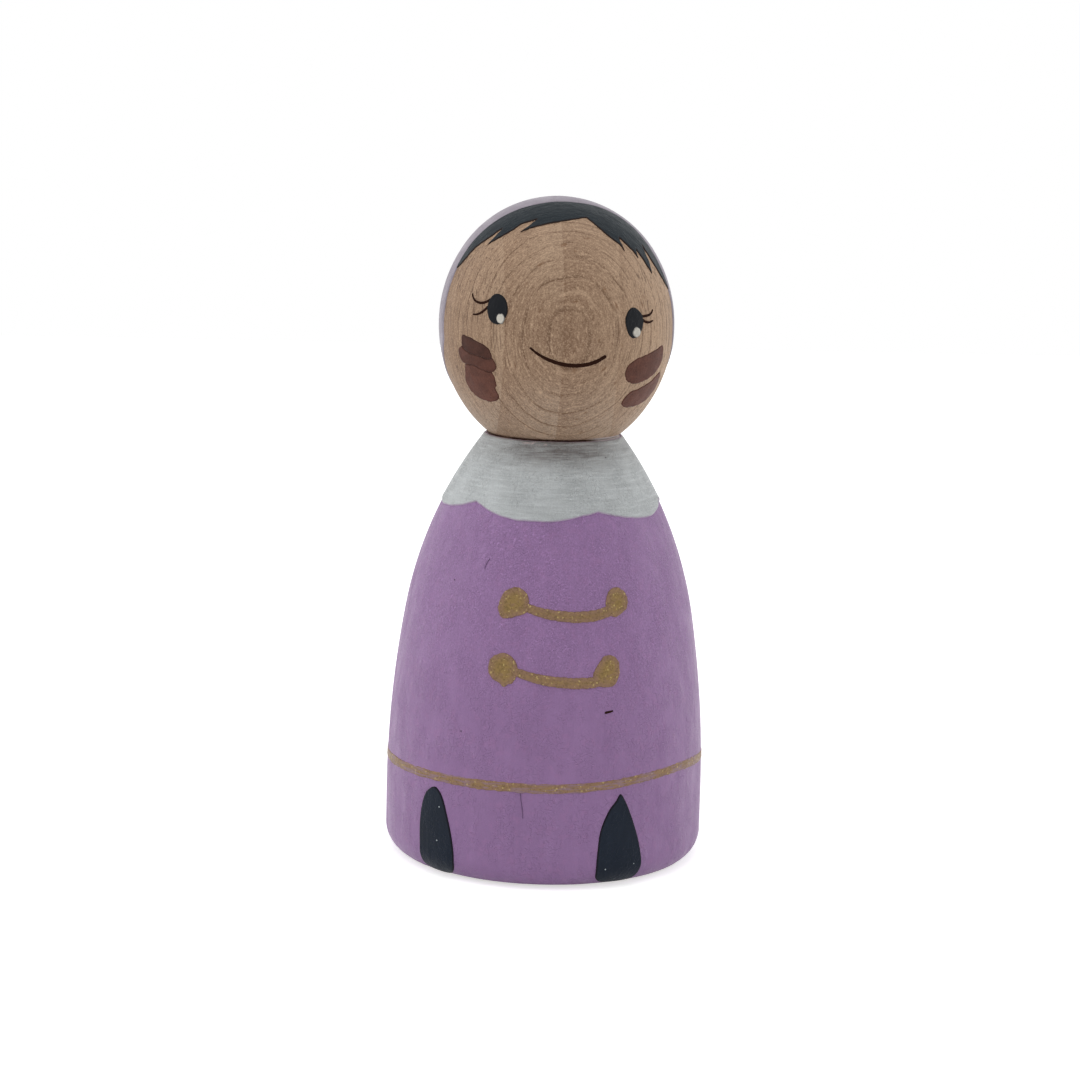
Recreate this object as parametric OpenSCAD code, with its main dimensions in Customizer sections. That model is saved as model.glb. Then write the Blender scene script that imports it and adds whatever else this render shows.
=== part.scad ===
// Painted wooden peg doll, standing upright and facing -Y.
// The origin is the centre of the flat base, on the surface that the doll stands on, and Z is the turning axis.
// Right and left are the doll's own. An azimuth is measured from the front (-Y) towards the doll's left (+X).
// Every coat of paint is a thin solid of its own, laid on the wood or on the coat beneath it.

/* [Turned body] */
// Diameter of the bare wooden body at its widest
body_d = 43.4; // [36:0.1:52]
// Height of the body, from the table to the neck
body_h = 57.9; // [48:0.1:69]
// Diameter of the body at the neck
neck_d = 17.9; // [14.8:0.1:21.4]
// Height at which the side starts to lean in
belly_h = 8.5; // [7:0.1:10.2]
// Lean of the side where its long arc meets the shoulder arc, in degrees from upright
side_lean = 9.8; // [8:0.1:11.8]
// Lean of the shoulder where it reaches the neck, in degrees from upright
shoulder_lean = 37.6; // [30:0.1:43]
// Radius that rounds the bottom edge
foot_round = 3.3; // [1:0.1:4]

/* [Turned head] */
// Diameter of the bare wooden head at its widest
head_d = 31.6; // [28:0.1:37]
// Height of the head from its widest place up to the crown
crown_h = 17.1; // [14:0.1:20.4]
// Height of the head from the neck up to its widest place
chin_h = 14.85; // [12.3:0.05:17.7]
// Diameter of the flat seat underneath the head
seat_d = 17.4; // [14.4:0.1:20.7]
// Height of the small bevel on both edges that meet at the neck
neck_bevel = 0.1; // [0.05:0.05:0.3]

/* [Neck dowel] */
// Diameter of the dowel
dowel_d = 8; // [6:0.1:10]
// Length of the dowel
dowel_l = 24; // [19:0.5:29]
// Radial clearance of the dowel in its sockets, which the glue fills
dowel_fit = 0.05; // [0.02:0.01:0.1]
// Spare depth beyond each end of the dowel
dowel_room = 0.5; // [0.3:0.1:1]
// Length of the bevel at each end of the dowel
dowel_bevel = 0.8; // [0.4:0.1:1.2]
// Number of glue flutes along the dowel
flute_count = 12; // [8:1:18]
// Radius of each glue flute
flute_r = 0.3; // [0.2:0.05:0.4]

/* [Paint thickness] */
// Lilac coat on the body
coat_t = 0.15; // [0.1:0.01:0.2]
// White collar, laid thickly over the coat
collar_t = 0.22; // [0.15:0.01:0.3]
// Gold lines and dots
gold_t = 0.15; // [0.1:0.01:0.2]
// Boots
boot_t = 0.14; // [0.1:0.01:0.2]
// Hood on the head
hood_t = 0.15; // [0.1:0.01:0.2]
// Hair
hair_t = 0.14; // [0.1:0.01:0.2]
// Eyes
eye_t = 0.12; // [0.09:0.01:0.15]
// Highlights, laid over the eyes
highlight_t = 0.1; // [0.08:0.01:0.12]
// Fine lines: the lashes and the smile
line_t = 0.1; // [0.08:0.01:0.12]
// Thin brown strokes on the cheeks
cheek_t = 0.08; // [0.06:0.01:0.1]
// Height above the table at which the paint stops
paint_foot = 0.3; // [0.2:0.05:0.5]

/* [Collar] */
// Drop from the neck to the lowest point of the scallops
collar_drop = 10; // [8:0.1:12]
// Height of a scallop, from its lowest point to its corners
scallop_h = 1.55; // [1:0.05:2.2]

/* [Gold fastenings] */
// Drop from the lowest point of the collar to the middle of the upper fastening's dots
upper_frog_drop = 10.2; // [9:0.1:12]
// Sideways place of the upper fastening, towards the doll's left
upper_frog_shift = 0.35; // [0:0.05:0.6]
// Drop from the upper fastening to the lower one
frog_pitch = 8.5; // [7.5:0.1:10.2]
// Distance between the middles of a fastening's two dots
frog_w = 13.5; // [11.2:0.1:16.2]
// Sideways place of the lower fastening, towards the doll's right
lower_frog_shift = 0.95; // [0.5:0.05:1.5]
// Diameter of the dots on the doll's right
big_dot_d = 3.9; // [3.1:0.1:4.6]
// Diameter of the dots on the doll's left
small_dot_d = 3.3; // [2.7:0.1:4]
// Sag of a bar below the middles of its dots
bar_sag = 1.75; // [1.4:0.05:2.1]
// Width of a bar where it is thickest
bar_w = 1.4; // [1.1:0.05:1.7]

/* [Hem] */
// Height of the hem line above the table
hem_h = 13.8; // [12:0.1:16.4]
// Width of the hem line
hem_w = 1.2; // [0.9:0.05:1.5]
// Rise of the hand-drawn line at its crest, in front on the doll's left
hem_crest = 1; // [0.8:0.05:1.4]
// Fall of the hand-drawn line on the doll's right side
hem_dip = 0.45; // [0.3:0.05:0.7]

/* [Boots] */
// Width of the boot on the doll's right
boot_right_w = 6; // [5:0.1:7.2]
// Width of the boot on the doll's left
boot_left_w = 6.8; // [5.6:0.1:8.2]
// Gap between the hem line and the tip of each boot
boot_gap = 0.9; // [0.7:0.05:1.3]

/* [Hood and hair] */
// Distance from the turning axis forward to the hood's edge beside the face
hood_front = 4; // [3.2:0.1:4.7]
// Height above the head's widest place at which the hood's edge starts to sweep back
hood_sweep_h = 3.3; // [2.6:0.1:4]
// Distance behind the axis at which the hood's edge reaches the neck
hood_nape = 4; // [3.2:0.1:4.8]

/* [Face] */
// Azimuth of each eye, in degrees
eye_azimuth = 35; // [29:0.5:42]
// Turn of both eyes together towards the doll's right, in degrees
eye_turn = 0.8; // [0:0.1:3]
// Width of an eye
eye_w = 3.1; // [2.5:0.1:3.7]
// Height of an eye
eye_h = 4; // [3.3:0.1:4.8]
// Height of the right eye's middle above the head's widest place
eye_right_up = 2.8; // [2.3:0.1:3.4]
// Height of the left eye's middle above the head's widest place
eye_left_up = 1.4; // [1.1:0.1:1.7]
// Width of a highlight
highlight_w = 1.3; // [1:0.05:1.5]
// Width of a lash at its root
lash_w = 0.34; // [0.28:0.01:0.42]
// Distance between the two ends of the smile
smile_w = 9.7; // [8:0.1:11.6]
// Depth of the smile below its higher end
smile_h = 2.1; // [1.7:0.1:2.6]
// Drop from the head's widest place to the higher end of the smile
smile_drop = 2; // [1.6:0.1:2.4]
// Width of the smile's line where it is thickest
smile_line_w = 0.52; // [0.42:0.01:0.62]
// Azimuth of the middle of each cheek, in degrees
cheek_azimuth = 49; // [44:0.5:54]
// Width of each cheek's brush strokes together
cheek_w = 6.7; // [5.5:0.1:8]
// Height of each cheek's brush strokes together
cheek_h = 8.5; // [7:0.1:10]
// Drop from the head's widest place to the middle of each cheek
cheek_drop = 5.3; // [4.4:0.1:6.3]

/* [Hidden] */
$fn = 256;

// Overrun of cuts past the surface that they leave
over = 0.5;

body_r = body_d / 2;
neck_r = neck_d / 2;
head_r = head_d / 2;
seat_r = seat_d / 2;
dowel_r = dowel_d / 2;
head_z = body_h + chin_h;

// Leans of the head, in degrees from upright, where one arc hands over to the next and where the chin reaches
// the seat
crown_turn = 35;
chin_turn = 37;
chin_lean = 53;

// Radii of two arcs that start upright, lean to lean_a and then on to lean_b, and together go in by
// run and along by rise
function arc_pair(run, rise, lean_a, lean_b) =
    let (in_a = 1 - cos(lean_a), in_b = cos(lean_a) - cos(lean_b))
    let (up_a = sin(lean_a), up_b = sin(lean_b) - sin(lean_a))
    let (scale_by = in_a * up_b - in_b * up_a)
    [(run * up_b - rise * in_b) / scale_by, (rise * in_a - run * up_a) / scale_by];

body_arcs = arc_pair(body_r - neck_r, body_h - belly_h, side_lean, shoulder_lean);
side_r = body_arcs[0];
shoulder_r = body_arcs[1];
side_mid = [body_r - side_r, belly_h];
shoulder_mid = side_mid + (side_r - shoulder_r) * [cos(side_lean), sin(side_lean)];

crown_arcs = arc_pair(head_r, crown_h, crown_turn, 90);
temple_r = crown_arcs[0];
crown_r = crown_arcs[1];
temple_mid = [head_r - temple_r, 0];
crown_mid = temple_mid + (temple_r - crown_r) * [cos(crown_turn), sin(crown_turn)];

chin_arcs = arc_pair(head_r - seat_r, chin_h, chin_turn, chin_lean);
jaw_r = chin_arcs[0];
chin_r = chin_arcs[1];
jaw_mid = [head_r - jaw_r, 0];
chin_mid = jaw_mid + (jaw_r - chin_r) * [cos(chin_turn), -sin(chin_turn)];

// Radius of the wooden body at a height on the shoulder arc
function shoulder_at(z) = shoulder_mid[0] + sqrt(pow(shoulder_r, 2) - pow(z - shoulder_mid[1], 2));

// Table of shares stretched to a width and a height
function stretch(shares, w, h) = [for (s = shares) [s[0] * w, s[1] * h]];

// Closed smooth outline through a list of points, with a few steps from each to the next
outline_steps = 5;
function smooth(p) =
    let (n = len(p))
    [for (i = [0 : n - 1], k = [0 : outline_steps - 1])
        let (t = k / outline_steps, a = p[(i + n - 1) % n], b = p[i], c = p[(i + 1) % n], d = p[(i + 2) % n])
        (2 * b + (c - a) * t + (2 * a - 5 * b + 4 * c - d) * t * t + (3 * b - a - 3 * c + d) * t * t * t) / 2];

// Point and direction on a curve with four control points
function curve_at(p, t) =
    pow(1 - t, 3) * p[0] + 3 * pow(1 - t, 2) * t * p[1] + 3 * (1 - t) * t * t * p[2] + pow(t, 3) * p[3];
function curve_way(p, t) =
    let (w = pow(1 - t, 2) * (p[1] - p[0]) + 2 * (1 - t) * t * (p[2] - p[1]) + t * t * (p[3] - p[2]))
    w / norm(w);

// Outline of one brush stroke along a curve, with its width at the start, the middle and the end,
// and with round ends
stroke_steps = 14;
cap_steps = 6;
function stroke_width(w, t) = w[0] * (1 - t) * (1 - 2 * t) + w[1] * 4 * t * (1 - t) + w[2] * t * (2 * t - 1);
function side_point(p, w, t, side) =
    let (way = curve_way(p, t))
    curve_at(p, t) + side * stroke_width(w, t) / 2 * [-way[1], way[0]];
function cap_point(p, w, t, turn) =
    let (way = curve_way(p, t), angle = atan2(way[1], way[0]) + turn)
    curve_at(p, t) + stroke_width(w, t) / 2 * [cos(angle), sin(angle)];
function stroke(p, w) = concat(
    [for (k = [0 : stroke_steps]) side_point(p, w, k / stroke_steps, 1)],
    [for (k = [1 : cap_steps - 1]) cap_point(p, w, 1, 90 - 180 * k / cap_steps)],
    [for (k = [stroke_steps : -1 : 0]) side_point(p, w, k / stroke_steps, -1)],
    [for (k = [1 : cap_steps - 1]) cap_point(p, w, 0, -90 - 180 * k / cap_steps)]
);

// Steps along each arc of the turned outlines
foot_steps = 8;
side_steps = 8;
shoulder_steps = 12;
chin_steps = 6;
jaw_steps = 10;
temple_steps = 10;
crown_steps = 14;

// Points along an arc from one turn to another, in degrees above level. An arc that goes on from another one
// starts at step 1, past the point that the two share.
function arc_points(mid, r, from, to, steps, first = 1) =
    [for (k = [first : steps]) let (turn = from + (to - from) * k / steps) mid + r * [cos(turn), sin(turn)]];

// Side of the body from the table up to the neck, grown outwards by the thickness of the paint on it
function body_side(grow = 0) = concat(
    arc_points([body_r - foot_round, foot_round], foot_round + grow, -90, 0, foot_steps, 0),
    arc_points(side_mid, side_r + grow, 0, side_lean, side_steps, 0),
    arc_points(shoulder_mid, shoulder_r + grow, side_lean, shoulder_lean, shoulder_steps)
);

// Side of the head from the seat up to the crown, about its widest place, grown in the same way
function head_side(grow = 0) = concat(
    arc_points(chin_mid, chin_r + grow, -chin_lean, -chin_turn, chin_steps, 0),
    arc_points(jaw_mid, jaw_r + grow, -chin_turn, 0, jaw_steps),
    arc_points(temple_mid, temple_r + grow, 0, crown_turn, temple_steps),
    arc_points(crown_mid, crown_r + grow, crown_turn, 90 - (90 - crown_turn) / crown_steps, crown_steps - 1),
    [[0, crown_h + grow]]
);

function backwards(p) = [for (i = [len(p) - 1 : -1 : 0]) p[i]];

// A coat all round the body between two thicknesses
module body_shell(inner, outer) {
    rotate_extrude() intersection() {
        polygon(concat(body_side(outer), backwards(body_side(inner))));
        translate([0, paint_foot]) square([body_d, body_h - neck_bevel - paint_foot]);
    }
}

// A coat on the body between two thicknesses, kept where the children are
module on_body(inner, outer) {
    intersection() {
        body_shell(inner, outer);
        children();
    }
}

// A coat on the head between two thicknesses, kept where the children are
module on_head(inner, outer) {
    intersection() {
        translate([0, 0, head_z]) rotate_extrude() intersection() {
            polygon(concat(head_side(outer), backwards(head_side(inner))));
            translate([0, neck_bevel - chin_h]) square([head_d, chin_h + crown_h + over]);
        }
        children();
    }
}

// A flat outline swept outwards from the turning axis at a height, towards an azimuth and an upward tilt
module towards(azimuth, height, reach, tilt = 0) {
    translate([0, 0, height]) rotate([0, 0, azimuth]) rotate([90 - tilt, 0, 0]) linear_extrude(reach) children();
}

module body() {
    color("#c2a486") difference() {
        rotate_extrude() intersection() {
            polygon(concat(body_side(), [[0, body_h], [0, 0]]));
            polygon([
                [0, 0], [body_d, 0], [body_d, body_h - neck_bevel],
                [neck_r + neck_bevel, body_h - neck_bevel], [neck_r - 2 * neck_bevel, body_h], [0, body_h]
            ]);
        }
        socket_depth = dowel_l / 2 + dowel_room;
        translate([0, 0, body_h - socket_depth]) cylinder(h = socket_depth + over, r = dowel_r + dowel_fit);
    }
}

module head() {
    color("#c8a98a") difference() {
        translate([0, 0, head_z]) rotate_extrude() intersection() {
            polygon(concat(head_side(), [[0, -chin_h]]));
            polygon([
                [0, -chin_h], [seat_r - 2 * neck_bevel, -chin_h], [seat_r + neck_bevel, neck_bevel - chin_h],
                [head_d, neck_bevel - chin_h], [head_d, crown_h + over], [0, crown_h + over]
            ]);
        }
        translate([0, 0, body_h - over])
            cylinder(h = dowel_l / 2 + dowel_room + over, r = dowel_r + dowel_fit);
    }
}

module neck_dowel() {
    color("#d8c19c") translate([0, 0, body_h - dowel_l / 2]) difference() {
        rotate_extrude() polygon([
            [0, 0], [dowel_r - dowel_bevel, 0], [dowel_r, dowel_bevel],
            [dowel_r, dowel_l - dowel_bevel], [dowel_r - dowel_bevel, dowel_l], [0, dowel_l]
        ]);
        for (i = [0 : flute_count - 1])
            rotate([0, 0, i * 360 / flute_count]) translate([dowel_r, 0, -over])
                cylinder(h = dowel_l + 2 * over, r = flute_r);
    }
}

module coat_paint() {
    color("#ad86bd") body_shell(0, coat_t);
}

// Azimuths of the corners between the collar's six scallops, counted once round. The edge has a point
// every collar_step degrees from collar_start, so that each corner falls on a point.
collar_corners = [-113, -50, 19, 79, 136, 190, 247];
collar_start = 1;
collar_step = 3;
collar_low = body_h - collar_drop;
// Height of each corner, and of the lowest point of the scallop after it, as shares of a scallop's height
corner_shares = [1, 1.17, 0.83, 1, 1.1, 0.9, 1];
low_shares = [0.25, 0, 0, 0.1, 0, 0.15];

// Height of the scalloped edge at an azimuth: each scallop is an arc that hangs between two corners
function scallop_at(azimuth, i = 0) =
    azimuth <= collar_corners[i + 1] ? i : scallop_at(azimuth, i + 1);
function collar_edge(azimuth) =
    let (a = azimuth < collar_corners[0] ? azimuth + 360 : azimuth, i = scallop_at(a))
    let (middle = (collar_corners[i] + collar_corners[i + 1]) / 2, half = collar_corners[i + 1] - middle)
    let (rise = (1 - cos(a - middle)) / (1 - cos(half)), along = (a - middle + half) / (2 * half))
    let (chord_share = corner_shares[i] * (1 - along) + corner_shares[i + 1] * along)
    collar_low + scallop_h * (low_shares[i] + (chord_share - low_shares[i]) * rise);

// Half of the collar's outline as seen from an azimuth
module collar_half(azimuth) {
    edge = [
        for (a = [-90 : collar_step : 90])
            let (z = collar_edge((a + azimuth + 540) % 360 - 180))
            [(shoulder_at(z) + coat_t + collar_t) * sin(a), z]
    ];
    towards(azimuth, 0, body_d) polygon(concat(
        [[-body_r, edge[0][1]]],
        edge,
        [[body_r, edge[len(edge) - 1][1]], [body_r, body_h], [-body_r, body_h]]
    ));
}

module collar_paint() {
    color("#dfe3e6") on_body(coat_t, coat_t + collar_t) union() {
        collar_half(collar_start);
        collar_half(collar_start + 180);
    }
}

// Outlines of the dots that the brush left, as shares of their diameter from their middle
upper_big_shares = [
    [0.16, 0.52], [0.39, 0.38], [0.48, 0.21], [0.49, -0.02], [0.42, -0.28], [0.13, -0.41], [-0.16, -0.5],
    [-0.4, -0.49], [-0.49, -0.28], [-0.48, -0.08], [-0.38, 0.21], [-0.21, 0.41], [-0.02, 0.5]
];
upper_small_shares = [
    [-0.1, 0.62], [0.14, 0.57], [0.35, 0.38], [0.45, 0.11], [0.41, -0.17], [0.28, -0.34], [0.03, -0.49],
    [-0.21, -0.48], [-0.45, -0.3], [-0.47, 0.04], [-0.41, 0.35], [-0.28, 0.55]
];
lower_big_shares = [
    [0.04, 0.53], [0.24, 0.47], [0.41, 0.29], [0.47, 0.06], [0.43, -0.26], [0.32, -0.44], [0.19, -0.49],
    [0.04, -0.59], [-0.11, -0.47], [-0.31, -0.38], [-0.44, -0.21], [-0.47, 0.03], [-0.4, 0.29], [-0.22, 0.45]
];
lower_small_shares = [
    [0.13, 0.6], [0.33, 0.51], [0.48, 0.32], [0.52, 0.15], [0.52, -0.2], [0.39, -0.5], [0.24, -0.63],
    [0.08, -0.66], [-0.18, -0.64], [-0.39, -0.56], [-0.56, -0.18], [-0.42, 0.17], [-0.17, 0.52], [-0.01, 0.6]
];
// Courses of the bars between the dots, as shares of the distance between the dots and of the sag
upper_bar_shares = [[-0.415, -0.11], [-0.207, -0.91], [0.252, -1.2], [0.444, -0.4]];
lower_bar_shares = [[-0.415, 0], [-0.2, -0.8], [0.25, -1.05], [0.44, -0.75]];
// Width of a bar at its start, middle and end, as shares of its full width
bar_width_shares = [0.7, 1, 0.95];

module frog(middle, height, big, bar, small) {
    on_body(coat_t, coat_t + gold_t) union() {
        towards(0, height, body_d) translate([middle - frog_w / 2, 0])
            polygon(smooth(stretch(big, big_dot_d, big_dot_d)));
        towards(0, height, body_d) translate([middle, 0])
            polygon(stroke(stretch(bar, frog_w, bar_sag), bar_w * bar_width_shares));
        towards(0, height, body_d) translate([middle + frog_w / 2, 0])
            polygon(smooth(stretch(small, small_dot_d, small_dot_d)));
    }
}

upper_frog_z = collar_low - upper_frog_drop;

module upper_frog() {
    color("#a8823a")
        frog(upper_frog_shift, upper_frog_z, upper_big_shares, upper_bar_shares, upper_small_shares);
}

module lower_frog() {
    color("#a8823a")
        frog(-lower_frog_shift, upper_frog_z - frog_pitch,
            lower_big_shares, lower_bar_shares, lower_small_shares);
}

// Azimuths of the crest and the dip of the hand-drawn hem line, and the angles over which they fade
hem_crest_azimuth = 48;
hem_crest_spread = 30;
hem_dip_azimuth = -98;
hem_dip_spread = 38;
hem_step = 5;
function bump(azimuth, spread) = exp(-pow(azimuth / spread, 2));
function hem_line(azimuth) =
    hem_h + hem_crest * bump(azimuth - hem_crest_azimuth, hem_crest_spread)
    - hem_dip * bump(azimuth - hem_dip_azimuth, hem_dip_spread);

// Half of the hem line as seen from an azimuth
module hem_half(azimuth) {
    reach = body_r + coat_t + gold_t;
    edge = [for (a = [-90 : hem_step : 90]) [reach * sin(a), hem_line((a + azimuth + 540) % 360 - 180)]];
    last = len(edge) - 1;
    towards(azimuth, 0, body_d) polygon(concat(
        [for (p = edge) p - [0, hem_w / 2]],
        [for (i = [last : -1 : 0]) edge[i] + [0, hem_w / 2]]
    ));
}

module hem_band() {
    color("#a8823a") on_body(coat_t, coat_t + gold_t) union() {
        hem_half(0);
        hem_half(180);
    }
}

// Outlines of the boots, as shares of their width from the middle and of their height from the table
boot_right_shares = [
    [-0.1, 1], [-0.3, 0.93], [-0.42, 0.81], [-0.5, 0.6], [-0.5, 0.35], [-0.48, 0.2], [-0.43, 0.11],
    [-0.26, 0.065], [0.03, 0.05], [0.3, 0.06], [0.45, 0.115], [0.52, 0.2], [0.51, 0.35], [0.4, 0.6],
    [0.21, 0.88], [0.05, 0.985]
];
boot_left_shares = [
    [-0.04, 1], [-0.14, 0.93], [-0.3, 0.82], [-0.45, 0.62], [-0.5, 0.36], [-0.51, 0.2], [-0.47, 0.115],
    [-0.3, 0.062], [0.05, 0.052], [0.31, 0.06], [0.43, 0.11], [0.49, 0.2], [0.48, 0.3], [0.39, 0.5],
    [0.24, 0.72], [0.09, 0.9]
];
boot_right_azimuth = -46.5;
boot_left_azimuth = 22.5;
function boot_h(azimuth) = hem_line(azimuth) - hem_w / 2 - boot_gap;

module boot(azimuth, shares, w) {
    color("#26323a") on_body(coat_t, coat_t + boot_t)
        towards(azimuth, 0, body_d) polygon(smooth(stretch(shares, w, boot_h(azimuth))));
}

module boot_right() {
    boot(boot_right_azimuth, boot_right_shares, boot_right_w);
}

module boot_left() {
    boot(boot_left_azimuth, boot_left_shares, boot_left_w);
}

sweep_steps = 12;
sweep_bend_share = 0.45;
// Front edge of the hood seen from above, from the doll's right to its left, as shares of the head's radius
// sideways and of hood_front forward
hood_edge_shares = [
    [-1.2, 0.82], [-0.75, 0.85], [-0.5, 0.97], [-0.22, 1.1], [0.12, 1.07], [0.3, 0.9], [0.48, 0.84],
    [0.6, 0.87], [0.75, 1.03], [0.85, 1.16], [0.94, 1.05], [1.2, 1]
];
// How far forward the side view of the hood reaches, as a share of hood_front
hood_reach_share = 1.2;

// Space behind the hood's front edge, which runs as seen from above down to where it sweeps back
module hood_space() {
    reach = hood_reach_share * hood_front;
    sweep_drop = hood_sweep_h + chin_h;
    bend = sweep_bend_share * sweep_drop;
    sweep = [
        [-reach, hood_sweep_h], [-reach, hood_sweep_h - bend], [hood_nape, bend - chin_h], [hood_nape, -chin_h]
    ];
    intersection() {
        translate([-head_d, 0, head_z]) rotate([90, 0, 90]) linear_extrude(2 * head_d) polygon(concat(
            [[-reach, crown_h + over]],
            [for (k = [0 : sweep_steps]) curve_at(sweep, k / sweep_steps)],
            [[head_d, -chin_h], [head_d, crown_h + over]]
        ));
        translate([0, 0, body_h - over]) linear_extrude(chin_h + crown_h + 3 * over) polygon(concat(
            stretch(hood_edge_shares, head_r, -hood_front), [[head_d, head_d], [-head_d, head_d]]
        ));
    }
}

module hood_paint() {
    color("#b3a8bb") on_head(0, hood_t) hood_space();
}

// Ragged front edge of the hair from the doll's right to its left, seen from the front and a little above,
// as shares of the head's radius. It closes well behind the hood's edge.
hair_tilt = 30;
hair_shares = [
    [-1.1, 0.36], [-0.89, 0.3], [-0.845, 0.305], [-0.73, 0.397], [-0.59, 0.455], [-0.515, 0.5], [-0.657, 0.36],
    [-0.54, 0.4], [-0.43, 0.45], [-0.37, 0.495], [-0.24, 0.53], [-0.33, 0.45], [-0.39, 0.405], [-0.28, 0.435],
    [-0.13, 0.47], [0.02, 0.502], [0.17, 0.552], [0.27, 0.445], [0.375, 0.35], [0.44, 0.315], [0.495, 0.24],
    [0.44, 0.39], [0.56, 0.29], [0.607, 0.24], [0.59, 0.325], [0.68, 0.21], [0.74, 0.145], [0.72, 0.24],
    [0.655, 0.415], [0.7, 0.345], [0.75, 0.28], [0.8, 0.23], [0.87, 0.165], [0.93, 0.15], [1.1, 0.5], [0, 1.4]
];

module hair() {
    color("#2e3a40") on_head(0, hair_t) difference() {
        towards(0, head_z, 2 * head_d, hair_tilt) polygon(stretch(hair_shares, head_r, head_r));
        hood_space();
    }
}

// Outlines of the eyes, as shares of their width and height from the middle
eye_right_shares = [
    [-0.13, 0.49], [0.14, 0.45], [0.38, 0.29], [0.5, 0.03], [0.46, -0.21], [0.2, -0.47],
    [-0.12, -0.47], [-0.33, -0.36], [-0.45, -0.17], [-0.5, 0.03], [-0.45, 0.25], [-0.33, 0.41]
];
eye_left_shares = [
    [-0.07, 0.5], [0.18, 0.45], [0.42, 0.28], [0.51, 0.1], [0.5, -0.06], [0.35, -0.33],
    [0, -0.5], [-0.27, -0.41], [-0.43, -0.2], [-0.5, 0.07], [-0.42, 0.28], [-0.26, 0.43]
];

module eye_outline(shares) {
    polygon(smooth(stretch(shares, eye_w, eye_h)));
}

module eye_right() {
    color("#20262b") on_head(0, eye_t)
        towards(-eye_azimuth - eye_turn, head_z + eye_right_up, head_d) eye_outline(eye_right_shares);
}

module eye_left() {
    color("#20262b") on_head(0, eye_t)
        towards(eye_azimuth - eye_turn, head_z + eye_left_up, head_d) eye_outline(eye_left_shares);
}

// Middles of the highlights, as shares of an eye's width and height from its middle
highlight_right_share = [0.22, -0.3];
highlight_left_share = [0.1, -0.31];

module highlight(azimuth, up, share) {
    color("#d9d6cc") on_head(eye_t, eye_t + highlight_t)
        towards(azimuth, head_z + up, head_d)
            translate([share[0] * eye_w, share[1] * eye_h]) circle(highlight_w / 2);
}

module eye_highlight_right() {
    highlight(-eye_azimuth - eye_turn, eye_right_up, highlight_right_share);
}

module eye_highlight_left() {
    highlight(eye_azimuth - eye_turn, eye_left_up, highlight_left_share);
}

// Courses of the lashes from root to tip, as shares of an eye's width and height from its middle
lashes_right_shares = [
    [[-0.4, 0.29], [-0.8, 0.06], [-1.34, 0.15], [-1.42, 0.42]],
    [[-0.42, 0.1], [-0.65, -0.1], [-0.9, -0.24], [-1.24, -0.23]]
];
lashes_left_shares = [
    [[0.4, 0.2], [0.8, 0.21], [1.06, 0.22], [1.17, 0.39]],
    [[0.42, 0.14], [0.64, -0.04], [0.95, -0.02], [1.14, 0.04]]
];
// Width of a lash at its root, middle and tip, as shares of its full width
lash_width_shares = [1, 0.95, 0.6];

module lashes(azimuth, up, lash_shares, eye_shares) {
    color("#2b211c") on_head(0, line_t)
        towards(azimuth, head_z + up, head_d) difference() {
            union() for (course = lash_shares)
                polygon(stroke(stretch(course, eye_w, eye_h), lash_w * lash_width_shares));
            eye_outline(eye_shares);
        }
}

module lashes_right() {
    lashes(-eye_azimuth - eye_turn, eye_right_up, lashes_right_shares, eye_right_shares);
}

module lashes_left() {
    lashes(eye_azimuth - eye_turn, eye_left_up, lashes_left_shares, eye_left_shares);
}

// Course of the smile, as shares of its width and depth from the level of its higher end
smile_shares = [[-0.5, 0], [-0.27, -0.93], [0.165, -1.5], [0.5, -0.45]];
// Width of the smile's line at its start, middle and end, as shares of its full width
smile_width_shares = [0.5, 1, 0.9];

module smile() {
    color("#33251f") on_head(0, line_t)
        towards(0, head_z - smile_drop, head_d)
            polygon(stroke(stretch(smile_shares, smile_w, smile_h), smile_line_w * smile_width_shares));
}

// Outlines of the brush strokes on the cheeks, as shares of the cheek's width and height from its middle
cheek_right_top_shares = [
    [-0.36, 0.5], [-0.14, 0.49], [0.13, 0.43], [0.33, 0.36], [0.41, 0.27], [0.39, 0.18],
    [0.2, 0.19], [-0.1, 0.23], [-0.34, 0.31]
];
cheek_right_mid_shares = [
    [-0.5, 0.28], [-0.3, 0.36], [0, 0.35], [0.3, 0.25], [0.46, 0.17], [0.5, 0.07], [0.42, -0.02],
    [0.25, -0.02], [0, 0.04], [-0.22, 0.06], [-0.38, 0.07], [-0.48, 0.15]
];
cheek_right_low_shares = [
    [-0.34, 0.05], [-0.15, 0.12], [0.15, 0.1], [0.34, 0.02], [0.41, -0.12], [0.41, -0.22], [0.36, -0.29],
    [0.39, -0.4], [0.28, -0.48], [0.08, -0.51], [-0.17, -0.47], [-0.36, -0.37], [-0.44, -0.22], [-0.38, -0.07]
];
cheek_left_top_shares = [
    [0.36, 0.41], [0.44, 0.3], [0.45, 0.13], [0.24, -0.04], [-0.05, -0.13], [-0.34, -0.17], [-0.56, -0.12],
    [-0.68, 0], [-0.66, 0.12], [-0.5, 0.22], [-0.2, 0.29], [0.12, 0.35]
];
cheek_left_low_shares = [
    [0.5, -0.02], [0.6, -0.1], [0.6, -0.27], [0.43, -0.43], [0.15, -0.53], [-0.22, -0.56], [-0.45, -0.51],
    [-0.48, -0.41], [-0.36, -0.3], [-0.06, -0.23], [0.24, -0.14]
];

module cheek_outline(shares) {
    polygon(smooth(stretch(shares, cheek_w, cheek_h)));
}

module on_cheek(azimuth) {
    on_head(0, cheek_t) towards(azimuth, head_z - cheek_drop, head_d) children();
}

module cheek_right_top() {
    color("#5b4137") on_cheek(-cheek_azimuth) cheek_outline(cheek_right_top_shares);
}

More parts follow.
